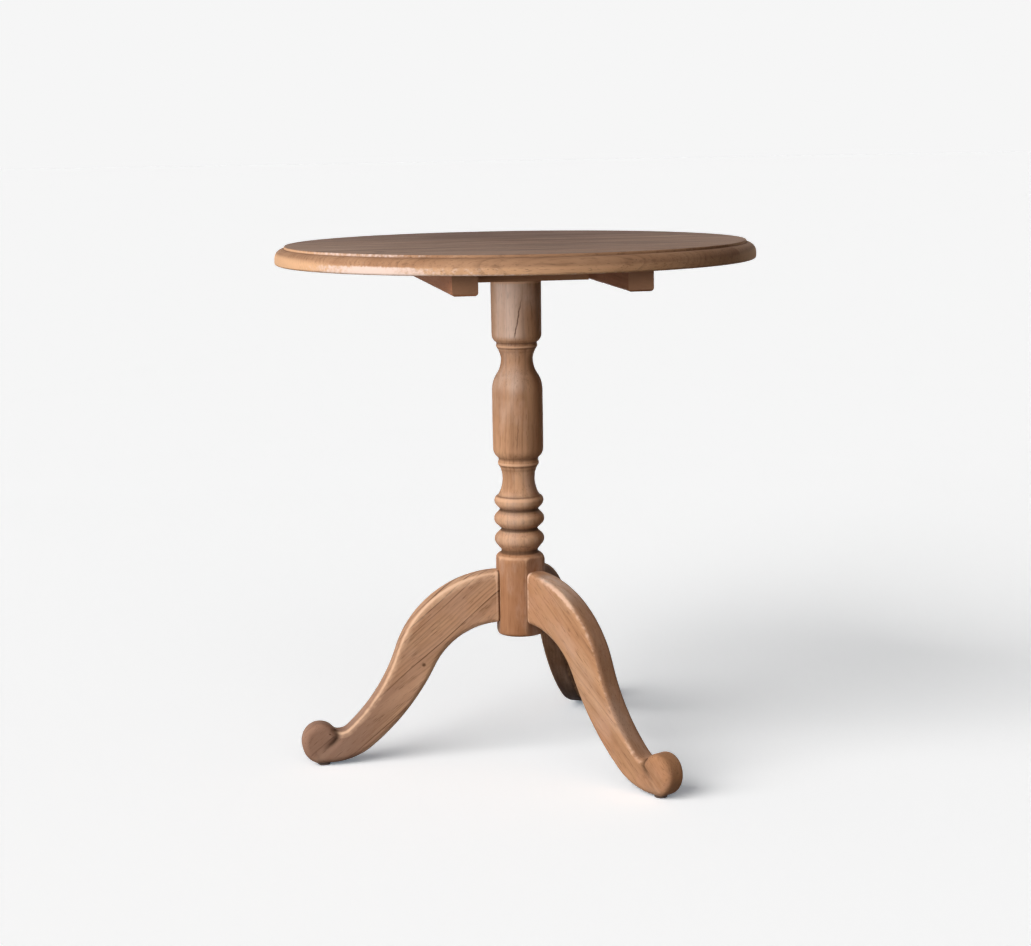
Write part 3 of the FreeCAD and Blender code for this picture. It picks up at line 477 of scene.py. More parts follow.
def lathe_tree():
    """Turns a profile, a row of points in the XZ plane, round Z, and cuts flats on its lower end."""
    tree, maker, given = new_tree(
        "turned_on_the_lathe", Int=["Segments", "Flats"],
        Float=["Flat Distance", "Flat Height", "Edge Softness"],
    )
    rows = maker.get("GeometryNodeAttributeDomainSize", {0: given("Geometry")}, "Point Count")
    grid = maker.get("GeometryNodeMeshGrid", {
        "Size X": 1.0, "Size Y": 1.0, "Vertices X": rows, "Vertices Y": given("Segments"),
    }, "Mesh")
    across, around, _ = maker.separate(maker.get("GeometryNodeInputPosition"))
    row = maker.math("ROUND", (across + 0.5) * (rows - 1))
    point = maker.get("GeometryNodeSampleIndex", {
        "Geometry": given("Geometry"), "Value": maker.get("GeometryNodeInputPosition"), "Index": row,
    }, data_type="FLOAT_VECTOR", domain="POINT")
    radius, _, rise = maker.separate(point)
    angle = (around + 0.5) * math.tau
    sector = math.tau / given("Flats")
    off_flat = maker.math("WRAP", angle - math.pi, sector / 2.0, sector / -2.0)
    above = maker.math("GREATER_THAN", rise, given("Flat Height"))
    limit = given("Flat Distance") / maker.math("COSINE", off_flat) + above
    held = maker.math("SMOOTH_MIN", radius, limit, given("Edge Softness"))
    place = maker.combine(
        held * maker.math("COSINE", angle), held * maker.math("SINE", angle), rise,
    )
    turned = maker.get("GeometryNodeSetPosition", {"Geometry": grid, "Position": place})
    closed = maker.get("GeometryNodeMergeByDistance", {"Geometry": turned, "Distance": LATHE_WELD})
    smooth = maker.get("GeometryNodeSetShadeSmooth", {"Geometry": closed})
    finish_tree(maker, smooth, given("Material"))
    return tree


def screw_tree():
    """A slotted countersunk screw, head down, at every point of the mesh it is given."""
    tree, maker, given = new_tree("slotted_screws", Int=["Seed"], Float=[
        "Head Radius", "Shank Radius", "Head Height", "Length", "Slot Width", "Slot Depth",
        "Thread Pitch",
    ])
    head_radius, head_height = given("Head Radius"), given("Head Height")
    shank_radius, length = given("Shank Radius"), given("Length")

    def lifted(shape, height):
        raised = maker.combine(0.0, 0.0, height)
        return maker.get("GeometryNodeTransform", {"Geometry": shape, "Translation": raised})

    head = maker.get("GeometryNodeMeshCone", {
        "Vertices": 40, "Side Segments": 4, "Fill Segments": 3,
        "Radius Top": shank_radius, "Radius Bottom": head_radius, "Depth": head_height,
    }, "Mesh")
    slot_size = maker.combine(head_radius * 3.0, given("Slot Width"), given("Slot Depth") * 2.0)
    slot = maker.get("GeometryNodeMeshCube", {"Size": slot_size}, "Mesh")
    cut = maker.get(
        "GeometryNodeMeshBoolean", {"Mesh 1": head, "Mesh 2": slot}, "Mesh",
        operation="DIFFERENCE", solver="EXACT",
    )
    point = shank_radius * 2.5
    plain = length - head_height - point
    threaded = plain * 0.62
    core = shank_radius * 0.74
    shank = maker.get("GeometryNodeMeshCylinder", {
        "Vertices": 24, "Side Segments": 1, "Radius": core, "Depth": plain + head_height * 0.5,
    }, "Mesh")
    shank = lifted(shank, plain / 2.0 + head_height * 0.75)
    tip = maker.get("GeometryNodeMeshCone", {
        "Vertices": 24, "Radius Top": 0.0, "Radius Bottom": core, "Depth": point,
    }, "Mesh")
    tip = lifted(tip, length - point)
    helix = maker.get("GeometryNodeCurveSpiral", {
        "Resolution": 20, "Rotations": threaded / given("Thread Pitch"), "Start Radius": core,
        "End Radius": core, "Height": threaded,
    })
    ridge = maker.get(
        "GeometryNodeCurvePrimitiveCircle", {"Resolution": 4, "Radius": shank_radius - core},
        mode="RADIUS",
    )
    thread = maker.get("GeometryNodeCurveToMesh", {
        "Curve": helix, "Profile Curve": ridge, "Fill Caps": True,
    })
    thread = lifted(thread, length - point - threaded)
    join = maker.add("GeometryNodeJoinGeometry")
    for item in (cut, shank, tip, thread):
        maker.tree.links.new(item.link, join.inputs[0])
    turns = {2: 0.0, 3: math.tau, "Seed": given("Seed")}
    spin = maker.get("FunctionNodeRandomValue", turns, 1, data_type="FLOAT")
    rows = maker.get("GeometryNodeInstanceOnPoints", {
        "Points": given("Geometry"), "Instance": maker.out(join),
        "Rotation": maker.combine(0.0, 0.0, spin),
    })
    finish_tree(maker, rows, given("Material"))
    return tree


def put(name, data):
    """A new object in the scene."""
    item = bpy.data.objects.new(name, data)
    bpy.context.scene.collection.objects.link(item)
    return item


def grow(name, points, tree, values):
    """A new piece from a shape tree that works on a row of points, as a plain mesh."""
    seed = bpy.data.meshes.new(name + "_points")
    seed.from_pydata([Vector(point) for point in points], [], [])
    carrier = put(name + "_carrier", seed)
    modifier = carrier.modifiers.new("shape", "NODES")
    modifier.node_group = tree
    for item in tree.interface.items_tree:
        if item.in_out == "INPUT" and item.name in values:
            modifier[item.identifier] = values[item.name]
    graph = bpy.context.evaluated_depsgraph_get()
    mesh = bpy.data.meshes.new_from_object(carrier.evaluated_get(graph))
    carrier.modifiers.remove(modifier)
    bpy.data.objects.remove(carrier)
    bpy.data.meshes.remove(seed)
    mesh.name = name
    return mesh


def tidy(mesh):
    """Merges doubles and turns every face outwards."""
    shape = bmesh.new()
    shape.from_mesh(mesh)
    bmesh.ops.remove_doubles(shape, verts=shape.verts, dist=WELD)
    bmesh.ops.dissolve_degenerate(shape, edges=shape.edges, dist=WELD)
    bmesh.ops.recalc_face_normals(shape, faces=shape.faces)
    shape.to_mesh(mesh)
    shape.free()


def stand_in(name, mesh, slot, *nodes):
    """Puts a finished mesh in the scene in the stead of its CAD nodes."""
    piece = put(name, mesh)
    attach(piece, BODY)
    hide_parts(*nodes)


def corners(mesh):
    """The mesh's vertices as rows of x, y, z."""
    flat = np.zeros(len(mesh.vertices) * 3)
    mesh.vertices.foreach_get("co", flat)
    return flat.reshape(-1, 3)


def mark(mesh, name, values):
    """Keeps a number for each vertex, for the material to read."""
    layer = mesh.attributes.new(name, "FLOAT", "POINT")
    layer.data.foreach_set("value", np.clip(values, 0.0, 1.0).astype(np.float32))


def ramp(value, low, high):
    """0 at low and 1 at high, smooth between."""
    share = np.clip((value - low) / (high - low), 0.0, 1.0)
    return share * share * (3.0 - 2.0 * share)


def between(value, rise, fall):
    """1 from the end of the rise to the start of the fall, 0 outside them."""
    return ramp(value, *rise) * (1.0 - ramp(value, *fall))


def bell(value, middle, width):
    """1 in the middle, fading to 0 on both sides."""
    return np.exp(-((value - middle) / width) ** 2)


# Profiles. A point of a turned piece is radius + 1j * height, in millimetres.

def arc(centre, start, end, turn, spacing=0.5):
    """Points on a circle from start to end; turn is 1 counter-clockwise and -1 clockwise."""
    radius = abs(start - centre)
    first = cmath.phase(start - centre)
    sweep = (turn * (cmath.phase(end - centre) - first)) % math.tau
    count = max(3, int(radius * sweep / spacing))
    stride = turn * sweep / count
    return [centre + cmath.rect(radius, first + stride * step) for step in range(count + 1)]


def straight(start, end, spacing=0.5):
    count = max(2, int(abs(end - start) / spacing))
    return [start + (end - start) * step / count for step in range(count + 1)]


class Turning:
    """The outside of a turned piece, drawn upwards."""

    def __init__(self, start):
        self.points = [start]

    @property
    def here(self):
        return self.points[-1]

    def follow(self, points):
        self.points.extend(points[1:])

    def go(self, radius, height):
        self.follow(straight(self.here, complex(radius, height)))

    def up(self, rise):
        self.follow(straight(self.here, self.here + 1j * rise))

    def round_out(self, radius):
        self.follow(arc(self.here + 1j * radius, self.here, self.here + radius * (1 + 1j), 1))

    def round_in(self, radius):
        self.follow(arc(self.here - radius, self.here, self.here + radius * (-1 + 1j), 1))

    def shoulder_in(self, inner, reach):
        centre = self.here - reach
        end = complex(inner, centre.imag + math.sqrt(reach ** 2 - (inner - centre.real) ** 2))
        self.follow(arc(centre, self.here, end, 1))

    def shoulder_out(self, outer, reach):
        inset = self.here.real - (outer - reach)
        centre = complex(outer - reach, self.here.imag + math.sqrt(reach ** 2 - inset ** 2))
        self.follow(arc(centre, self.here, centre + reach, 1))

    def hollow_in(self, radius, rise):
        end = complex(radius, self.here.imag + rise)
        inward = self.here.real - radius
        reach = (inward ** 2 + rise ** 2) / (2 * inward)
        self.follow(arc(end + reach, self.here, end, -1))

    def ogee_in(self, radius, rise, swell):
        end = complex(radius, self.here.imag + rise)
        inward = self.here.real - radius
        hollow = (inward ** 2 + rise ** 2) / (2 * inward) - swell
        swell_centre = self.here - swell
        hollow_centre = end + hollow
        turn = toward(swell_centre, hollow_centre, swell)
        self.follow(arc(swell_centre, self.here, turn, 1))
        self.follow(arc(hollow_centre, turn, end, -1))


def toward(centre, target, reach):
    return centre + (target - centre) / abs(target - centre) * reach


def crossing(one, one_radius, other, other_radius):
    """Where two circles cross, on the left of the way from one to the other."""
    way = other - one
    along = (one_radius ** 2 - other_radius ** 2 + abs(way) ** 2) / (2 * abs(way))
    aside = math.sqrt(one_radius ** 2 - along ** 2)
    return one + way / abs(way) * complex(along, aside)


def even(points, count):
    """Points at even steps along a line of points."""
    line = np.array(points)
    run = np.concatenate([[0.0], np.cumsum(np.abs(np.diff(line)))])
    stops = np.linspace(0.0, run[-1], count)
    return np.interp(stops, run, line.real) + 1j * np.interp(stops, run, line.imag)


# Sanding works on points this far apart, in millimetres, and on this many to each side.
SANDING_STEP = 0.25
SANDING_REACH = 12


def sanded(points, reach):
    """The same line with its corners sanded round."""
    line = even(points, int(sum(abs(np.diff(points))) / SANDING_STEP))
    taps = np.arange(-SANDING_REACH, SANDING_REACH + 1) * SANDING_STEP
    weights = np.exp(-0.5 * (taps / reach) ** 2)
    weights /= weights.sum()
    ends = [np.full(SANDING_REACH, line[end]) for end in (0, -1)]
    soft = np.convolve(np.concatenate([ends[0], line, ends[1]]), weights, "valid")
    soft[0] = line[0]
    soft[-1] = line[-1]
    return soft


def thinned(line, tolerance, longest):
    """Drops points that a straight edge passes closer to than the tolerance."""
    kept = [0]
    while kept[-1] < len(line) - 1:
        start = kept[-1]
        reach = start + 1
        for end in range(start + 2, len(line)):
            way = line[end] - line[start]
            if abs(way) > longest:
                break
            inner = (line[start + 1:end] - line[start]) / (way if abs(way) > 0 else 1)
            if np.max(np.abs(inner.imag)) * abs(way) > tolerance:
                break
            reach = end
        kept.append(reach)
    return line[kept]


# Turned mouldings of the post as radius and height, from the drum's shoulder up to the barrel.
RINGS = ((31.7, 282.3, 9.5), (32.1, 308.4, 9.0), (31.4, 331.8, 8.5))
VALLEY_FLAT = 1.2
RING_VALLEYS = ((23.2, 267.8), (22.9, 295.3), (24.3, 320.5))
LOWER_BEAD = (
    (20.7, 364.5), (21.2, 368.2), (22.1, 371.0), (23.0, 373.6), (23.5, 374.9), (24.6, 376.4),
    (25.7, 378.0), (26.2, 379.6), (26.2, 380.6), (25.9, 382.0), (25.3, 383.6), (25.0, 384.5),
    (25.2, 385.6), (25.6, 387.3),
)
UPPER_BEAD = (
    (20.5, 516.0), (21.5, 519.8), (22.6, 522.3), (23.5, 524.8), (24.3, 526.0), (25.4, 527.4),
    (26.1, 529.0), (26.2, 530.0), (25.9, 531.4), (25.5, 532.6), (25.4, 533.4), (25.7, 534.2),
)


def post_profile():
    post = Turning(complex(0.0, POST_FOOT))
    post.go(DRUM_RADIUS - DRUM_ROUNDING, POST_FOOT)
    post.round_out(DRUM_ROUNDING)
    post.go(DRUM_RADIUS, 254.0)
    post.shoulder_in(24.0, 11.0)
    for (valley_radius, valley), (radius, height, crest) in zip(RING_VALLEYS, RINGS):
        centre = complex(radius - crest, height)
        slant = crest * math.sqrt(0.5)
        post.go(valley_radius, valley - VALLEY_FLAT / 2)
        post.up(VALLEY_FLAT)
        post.follow(straight(post.here, centre + complex(slant, -slant)))
        post.follow(arc(centre, post.here, centre + complex(slant, slant), 1))
    post.go(28.4, 337.6)
    post.go(26.9, 338.4)
    post.hollow_in(20.5, 360.5 - post.here.imag)
    for radius, height in LOWER_BEAD:
        post.go(radius, height)
    post.shoulder_out(32.0, 14.0)
    post.go(32.2, 440.0)
    post.go(32.0, 474.0)
    post.ogee_in(20.1, 39.5, 36.0)
    for radius, height in UPPER_BEAD:
        post.go(radius, height)
    post.shoulder_out(31.5, 10.5)
    post.go(31.9, FRAME_BOTTOM)
    post.go(TENON_RADIUS, FRAME_BOTTOM)
    post.go(TENON_RADIUS, TENON_TOP)
    post.go(0.0, TENON_TOP)
    return post.points


def row_of_points(line):
    return [(point.real * MM, 0.0, point.imag * MM) for point in line]


# Drying splits of the post: heading and height of their ends, width as an angle, strength.
POST_SPLITS = (
    ((276.6, 0.602), (254.0, 0.539), 0.038, 0.75),
    ((264.0, 0.452), (257.0, 0.398), 0.03, 0.4),
)

# The side of the post with a painted sheen, and the far side with painted shade: the heading
# and width of each.
SHEEN_SIDE = (234.0, 38.0)
SHADED_SIDE = (328.0, 28.0)

# Heights of the crests and fillets of the two beads, worn pale, with the strength of the wear.
BEAD_LINES = ((380.2, 0.9), (374.3, 0.45), (529.7, 0.9), (525.3, 0.45))

# Heights of the fine grooves beside them and above the top ring, painted with shade.
GROOVE_LINES = ((338.4, 0.55), (372.4, 0.3), (377.2, 0.5), (523.2, 0.3), (527.3, 0.5))
BEAD_LINE_WIDTH = 1.3
GROOVE_WIDTH = 0.8

# Heights where wear, stain, painted sheen and painted shade start and end, each as a soft range.
WORN_FROM = (163.0, 172.0)
DRUM_END = (255.0, 263.0)
RINGS_START = (250.0, 275.0)
RING_ZONE = ((268.0, 284.0), (336.0, 348.0))
COVE_ZONE = ((336.0, 342.0), (358.0, 372.0))
SHOULDER_ZONE = ((466.0, 484.0), (490.0, 512.0))
VASE_END = (500.0, 530.0)
BARREL_START = (536.0, 545.0)

# Heading at which the drum turns from its open front to the flat of the front leg, painted with shade.
FRONT_FLAT = (276.0, 288.0)
POST_SEGMENTS = 161
FLAT_TOP = 266.0
FLAT_SOFTNESS = 1.2


def make_post(tree):
    line = thinned(sanded(post_profile(), reach=0.7), tolerance=0.012, longest=5.0)
    mesh = grow("post_turned", row_of_points(line), tree, {
        "Segments": POST_SEGMENTS, "Flats": len(LEG_TURNS), "Flat Distance": FLAT_DISTANCE * MM,
        "Flat Height": FLAT_TOP * MM, "Edge Softness": FLAT_SOFTNESS * MM,
        "Material": wood("post_wood", POST_LOOK, UPRIGHT, (0.31, 0.02, 0.0), splits=POST_SPLITS),
    })
    tidy(mesh)
    spots = corners(mesh)
    heights = spots[:, 2] / MM
    radii = np.hypot(spots[:, 0], spots[:, 1]) / MM
    headings = np.degrees(np.arctan2(spots[:, 1], spots[:, 0])) % 360.0

    # How far the post bulges past its mean radius a little above and below.
    order = np.argsort(line.imag)
    nominal = np.interp(heights, line.imag[order], line.real[order])
    span = np.array([-5.0, -3.0, 3.0, 5.0])
    around = np.interp(heights[:, None] + span, line.imag[order], line.real[order]).mean(axis=1)
    bulge = nominal - around

    from_flat = np.abs(headings % 120.0 - 60.0)
    drum = 1.0 - ramp(heights, *DRUM_END)
    arris = math.degrees(math.acos(FLAT_DISTANCE / DRUM_RADIUS))
    worn_arris = 0.6 * drum * bell(from_flat, arris + 1.0, 3.0)
    worn_bead = sum(
        strength * bell(heights, level, BEAD_LINE_WIDTH) for level, strength in BEAD_LINES
    )
    worn_crest = ramp(bulge, 0.3, 2.2) * ramp(radii, 15.0, 21.0)
    mark(mesh, "wear", (worn_crest + worn_arris + worn_bead) * ramp(heights, *WORN_FROM))
    # Painted shade in the hollows between the rings and in the fine grooves.
    grooves = sum(depth * bell(heights, level, GROOVE_WIDTH) for level, depth in GROOVE_LINES)
    mark(mesh, "crevice_shade", ramp(-bulge, 0.5, 3.2) + grooves)
    # Painted sheen on the side of the post that faces the light: barrel, shoulder and rings.
    sheen_height = ramp(heights, *BARREL_START)
    sheen_height += 0.5 * between(heights, *SHOULDER_ZONE) + 0.3 * between(heights, *RING_ZONE)
    mark(mesh, "painted_sheen", 0.95 * sheen_height * bell(headings, *SHEEN_SIDE))
    # The drum below the rings is stained darker and its flat for the front leg painted with shade; the
    # far side is painted with shade, most on the cove.
    below_rings = 1.0 - ramp(heights, *RINGS_START)
    far_side = bell(headings, *SHADED_SIDE) * (1.0 - ramp(heights, *VASE_END))
    stain_and_shade = below_rings * (0.6 + 0.4 * ramp(headings, *FRONT_FLAT))
    mark(mesh, "stain_and_shade", stain_and_shade + far_side * (0.6 + 0.4 * between(heights, *COVE_ZONE)))
    stand_in("post_turned", mesh, "post_wood", "post")


# Legs, drawn in their own plane: a point is reach + 1j * height.

# Points of the outline, half a millimetre apart, that make up the eased end of a leg at the drum.
ROOT_STEPS = 12


def leg_outline():
    """The upper and the lower side of a leg from root to toe, in matching sections."""
    root_high = complex(ROOT_REACH, LEG_ROOT_LOW + LEG_ROOT_DEPTH)
    root_low = complex(ROOT_REACH, LEG_ROOT_LOW)
    toe_end = complex(FOOT_REACH + FOOT_FLAT / 2, SOLE)
    heel_end = complex(FOOT_REACH - FOOT_FLAT / 2, SOLE)
    knee_radius, hollow_radius, notch_radius = 142.0, 228.0, 14.0
    scroll_radius, toe_radius, heel_radius = 22.5, 28.4, 84.0
    shin_radius, arch_radius = 304.0, 96.0
    scroll_ahead, scroll_lift, notch_back, heel_share = 4.4, 7.0, 26.3, 0.4
    scroll = complex(FOOT_REACH + scroll_ahead, SOLE + scroll_lift + scroll_radius)
    notch_lift = math.sqrt((notch_radius + scroll_radius) ** 2 - notch_back ** 2)
    notch = scroll + complex(-notch_back, notch_lift)
    knee = root_high - 1j * knee_radius
    hollow = crossing(knee, knee_radius + hollow_radius, notch, hollow_radius - notch_radius)
    toe = crossing(toe_end, toe_radius, scroll, toe_radius - scroll_radius)
    heel = heel_end + 1j * heel_radius
    arch = root_low - 1j * arch_radius
    shin = crossing(arch, shin_radius + arch_radius, heel, shin_radius - heel_radius)
    knee_hollow = toward(knee, hollow, knee_radius)
    hollow_notch = toward(hollow, notch, hollow_radius)
    notch_scroll = toward(notch, scroll, notch_radius)
    scroll_toe = toward(toe, scroll, toe_radius)
    heel_shin = toward(shin, heel, shin_radius)
    shin_arch = toward(arch, shin, arch_radius)
    toe_line = arc(toe, scroll_toe, toe_end, -1)
    tip = len(toe_line) // 2
    heel_line = arc(heel, heel_shin, heel_end, 1)
    turn = int(len(heel_line) * heel_share)
    knee_line = arc(knee, root_high, knee_hollow, -1)
    arch_line = arc(arch, root_low, shin_arch, -1)
    upper = [
        knee_line[:ROOT_STEPS + 1],
        knee_line[ROOT_STEPS:],
        arc(hollow, knee_hollow, hollow_notch, 1),
        arc(notch, hollow_notch, notch_scroll, 1),
        arc(scroll, notch_scroll, scroll_toe, -1) + toe_line[1:tip + 1],
    ]
    lower = [
        arch_line[:ROOT_STEPS + 1],
        arch_line[ROOT_STEPS:],
        arc(shin, shin_arch, heel_shin, 1),
        heel_line[:turn + 1],
        heel_line[turn:] + straight(heel_end, toe_end)[1:] + toe_line[:tip - 1:-1],
    ]
    return upper, lower


SECTION_ROWS = (12, 60, 60, 18, 64)
ROUND_STEPS = 7
FACE_STEPS = 34
WALL_STEPS = 6
LEG_ROUNDING = 7.0
SCROLL_ROUNDING = 8.5

# Rows past the notch in which the rounding has grown, and steps in which an edge's wear fades.
ROUNDING_ROWS = 8
WEAR_FADE = 2.5

# How far from the drum a leg's end is eased.
ROOT_EASING = 5.0

# The crease beside the scroll, from the notch round under the scroll's face.
CREASE = (243.5 + 46.5j, 240.5 + 38.0j, 246.0 + 31.0j, 254.0 + 24.5j, 262.0 + 17.5j)
CREASE_DEPTH = 3.4
CREASE_WIDTH = 8.5

# Where a leg's edges are rubbed most, as reach and width, and where its darker foot, painted shade
# and painted sheen start and end, as reach.
KNEE_RUB = (96.0, 35.0)
NOTCH_RUB = (225.0, 15.0)
SCROLL_START = (234.0, 250.0)
KNEE_ZONE = ((40.0, 62.0), (85.0, 125.0))
SHIN_ZONE = ((75.0, 115.0), (225.0, 245.0))
FOOT_START = (130.0, 240.0)
UNDERSIDE_START = (60.0, 210.0)

# How far from the drum the painted shade in the joint ends.
ROOT_SHADE_END = (1.8, 3.8)


def joined(sections, rows):
    parts = [even(section, count + 1)[:-1] for section, count in zip(sections, rows)]
    return np.concatenate(parts + [[sections[-1][-1]]])


def directions(line):
    way = np.gradient(line)
    return way / np.abs(way)


def smooth_line(points, count, cuts=4):
    """A smooth curve along a few points, whose corners are cut off again and again."""
    line = np.array(points)
    for _ in range(cuts):
        line = np.concatenate([[line[0]], np.ravel(np.column_stack([
            0.75 * line[:-1] + 0.25 * line[1:], 0.25 * line[:-1] + 0.75 * line[1:],
        ])), [line[-1]]])
    return even(line, count)


def crease_depth(points):
    """How deep the crease is at each point of a leg's side."""
    line = smooth_line(CREASE, 60)
    gaps = np.abs(points[..., None] - line)
    nearest = np.argmin(gaps, axis=-1)
    gap = np.min(gaps, axis=-1)
    share = nearest / (len(line) - 1)
    fade = 1.0 - ramp(share, 0.35, 1.0)
    return CREASE_DEPTH * fade * np.clip(1.0 - gap / CREASE_WIDTH, 0.0, 1.0) ** 2


def all_round(half, below, above, side=1):
    """All round a leg: one half, the wall below, the other half on its side, the wall above."""
    return np.concatenate([half, below, side * half[..., ::-1], above], axis=-1)


def make_leg(name, turn, look, material):
    upper_sections, lower_sections = leg_outline()
    upper = joined(upper_sections, SECTION_ROWS)
    lower = joined(lower_sections, SECTION_ROWS)
    upper_in = directions(upper) * -1j
    lower_in = directions(lower) * 1j
    upper_in[-1] = lower_in[-1] = toward(0, upper_in[-2] + lower_in[-2], 1.0)
    rows = len(upper)
    swell = ramp(np.arange(rows), sum(SECTION_ROWS[:3]), sum(SECTION_ROWS[:4]) + ROUNDING_ROWS)
    rounding = LEG_ROUNDING + (SCROLL_ROUNDING - LEG_ROUNDING) * swell
    half = LEG_THICKNESS / 2

    # One half of a cross-section, from the upper edge over the face to the lower edge.
    bend = np.linspace(0.0, math.pi / 2, ROUND_STEPS + 1)
    inset = rounding[:, None] * (1 - np.cos(bend))
    side = half - rounding[:, None] * (1 - np.sin(bend))
    high = upper[:, None] + upper_in[:, None] * inset
    low = lower[:, None] + lower_in[:, None] * inset
    across = np.linspace(0.0, 1.0, FACE_STEPS + 1)[1:-1]
    face = high[:, -1:] * (1 - across) + low[:, -1:] * across
    spots = np.concatenate([high, face, low[:, ::-1]], axis=1)
    out = np.concatenate([side, np.full(face.shape, half), side[:, ::-1]], axis=1)
    groove = crease_depth(spots)
    from_root = spots.real - ROOT_REACH
    short = np.clip(ROOT_EASING - from_root, 0.0, ROOT_EASING)
    eased = ROOT_EASING - np.sqrt(ROOT_EASING ** 2 - short ** 2)
    out = np.maximum(out - groove - eased, 0.0)
    arris = np.sin(2 * bend) ** 2
    beside = np.where(bend < math.pi / 4, look["top_wear"], look["edge_spread"])
    fading = look["edge_spread"] * np.exp(-np.arange(face.shape[1]) / WEAR_FADE)
    edge = np.concatenate([np.maximum(arris, beside), fading, arris[::-1]])
    rubbed = bell(upper.real, *KNEE_RUB) + 0.6 * bell(upper.real, *NOTCH_RUB)
    rubbed = look["edge_least"] + (1.0 - look["edge_least"]) * rubbed
    wear = edge * (rubbed * (1.0 - 0.6 * ramp(upper.real, *SCROLL_START)))[:, None]
    wear = wear + 0.7 * bell(from_root, ROOT_EASING, 1.3)
    # Painted shade in the crease by the scroll and in the joint at the drum.
    crevice_shade = groove / CREASE_DEPTH + 0.85 * (1 - ramp(from_root, *ROOT_SHADE_END))

    # The other half mirrors it, with strips of wall between them along both edges.
    wall = np.linspace(-1.0, 1.0, WALL_STEPS + 1)[1:-1]
    wall_out = out[:, :1] * wall
    lower_wall = np.repeat(lower[:, None], len(wall), axis=1)
    upper_wall = np.repeat(upper[:, None], len(wall), axis=1)
    loop = all_round(spots, lower_wall, upper_wall)
    aside = all_round(out, -wall_out, wall_out, side=-1)
    bare = np.zeros(wall_out.shape)
    wear = all_round(wear, bare, bare + look["top_wear"])
    crevice_shade = all_round(crevice_shade, bare, bare)
    top_edge = np.concatenate([bend < math.pi / 4, np.zeros(spots.shape[1] - len(bend))])
    on_top = np.tile(all_round(top_edge, bare[0], bare[0] + 1.0), rows)
    under = np.tile(all_round(top_edge[::-1], bare[0] + 1.0, bare[0]), rows)

    angle = math.radians(turn)
    reach = loop.real.ravel()
    sideways = aside.ravel()
    spots_3d = np.column_stack([
        reach * math.cos(angle) - sideways * math.sin(angle),
        reach * math.sin(angle) + sideways * math.cos(angle),
        loop.imag.ravel(),
    ]) * MM
    count = loop.shape[1]
    index = np.arange(rows * count).reshape(rows, count)
    following = np.roll(index, -1, axis=1)
    quads = np.stack([index[:-1], following[:-1], following[1:], index[1:]], axis=-1)
    faces = quads.reshape(-1, 4).tolist() + [index[0].tolist()]
    mesh = bpy.data.meshes.new("leg_" + name + "_carved")
    mesh.from_pydata(spots_3d.tolist(), [], faces)
    mark(mesh, "wear", wear.ravel())
    mark(mesh, "crevice_shade", crevice_shade.ravel())
    # Darker towards the foot; painted shade on the upper wall of the shin and on the rear leg's
    # underside.
    stain_and_shade = look["foot_darkening"] * ramp(reach, *FOOT_START)
    stain_and_shade += look["shin_shade"] * on_top * between(reach, *SHIN_ZONE)
    mark(mesh, "stain_and_shade", stain_and_shade + look["under_shade"] * under * ramp(reach, *UNDERSIDE_START))
    # Painted sheen on the upper edge at the knee.
    mark(mesh, "painted_sheen", look["knee_sheen"] * on_top * between(reach, *KNEE_ZONE))
    tidy(mesh)
    mesh.shade_smooth()
    mesh.materials.append(material)
    stand_in("leg_" + name + "_carved", mesh, "leg_wood", "leg_" + name)


# Top.

def rim_profile():
    rim = Turning(complex(RIM_INNER, TOP_BOTTOM))
    rim.go(TOP_RADIUS - RIM_UNDERSIDE, TOP_BOTTOM)
    rim.round_out(RIM_UNDERSIDE)
    rim.up(TOP_THICKNESS - RIM_UNDERSIDE - RIM_OVOLO - RIM_STEP - RIM_LIP)
    rim.round_in(RIM_OVOLO)
    rim.up(RIM_STEP)
    rim.go(TOP_RADIUS - RIM_OVOLO - RIM_LIP, TOP_BOTTOM + TOP_THICKNESS)
    rim.go(RIM_INNER, TOP_BOTTOM + TOP_THICKNESS)
    return rim.points


def near_heading(spots, heading, width):
    """1 on one side of the top, fading to 0 away from it."""
    headings = np.degrees(np.arctan2(spots[:, 1], spots[:, 0]))
    away = (headings - heading + 180.0) % 360.0 - 180.0
    return bell(away, 0.0, width)


# Sides of the rim with a finish of their own, the heading and width of each: two painted with shade,
# a bare and a scuffed side, the side where the lip is worn and painted with a highlight, and the side
# where the lower arris is worn.
SHADED_RIM = (325.0, 32.0)
SHADED_OVOLO = (275.0, 26.0)
BARE_SIDE = (223.0, 15.0)
SCUFFED_SIDE = (236.0, 20.0)
PALE_LIP_SIDE = (215.0, 30.0)
WORN_ARRIS = (250.0, 30.0)


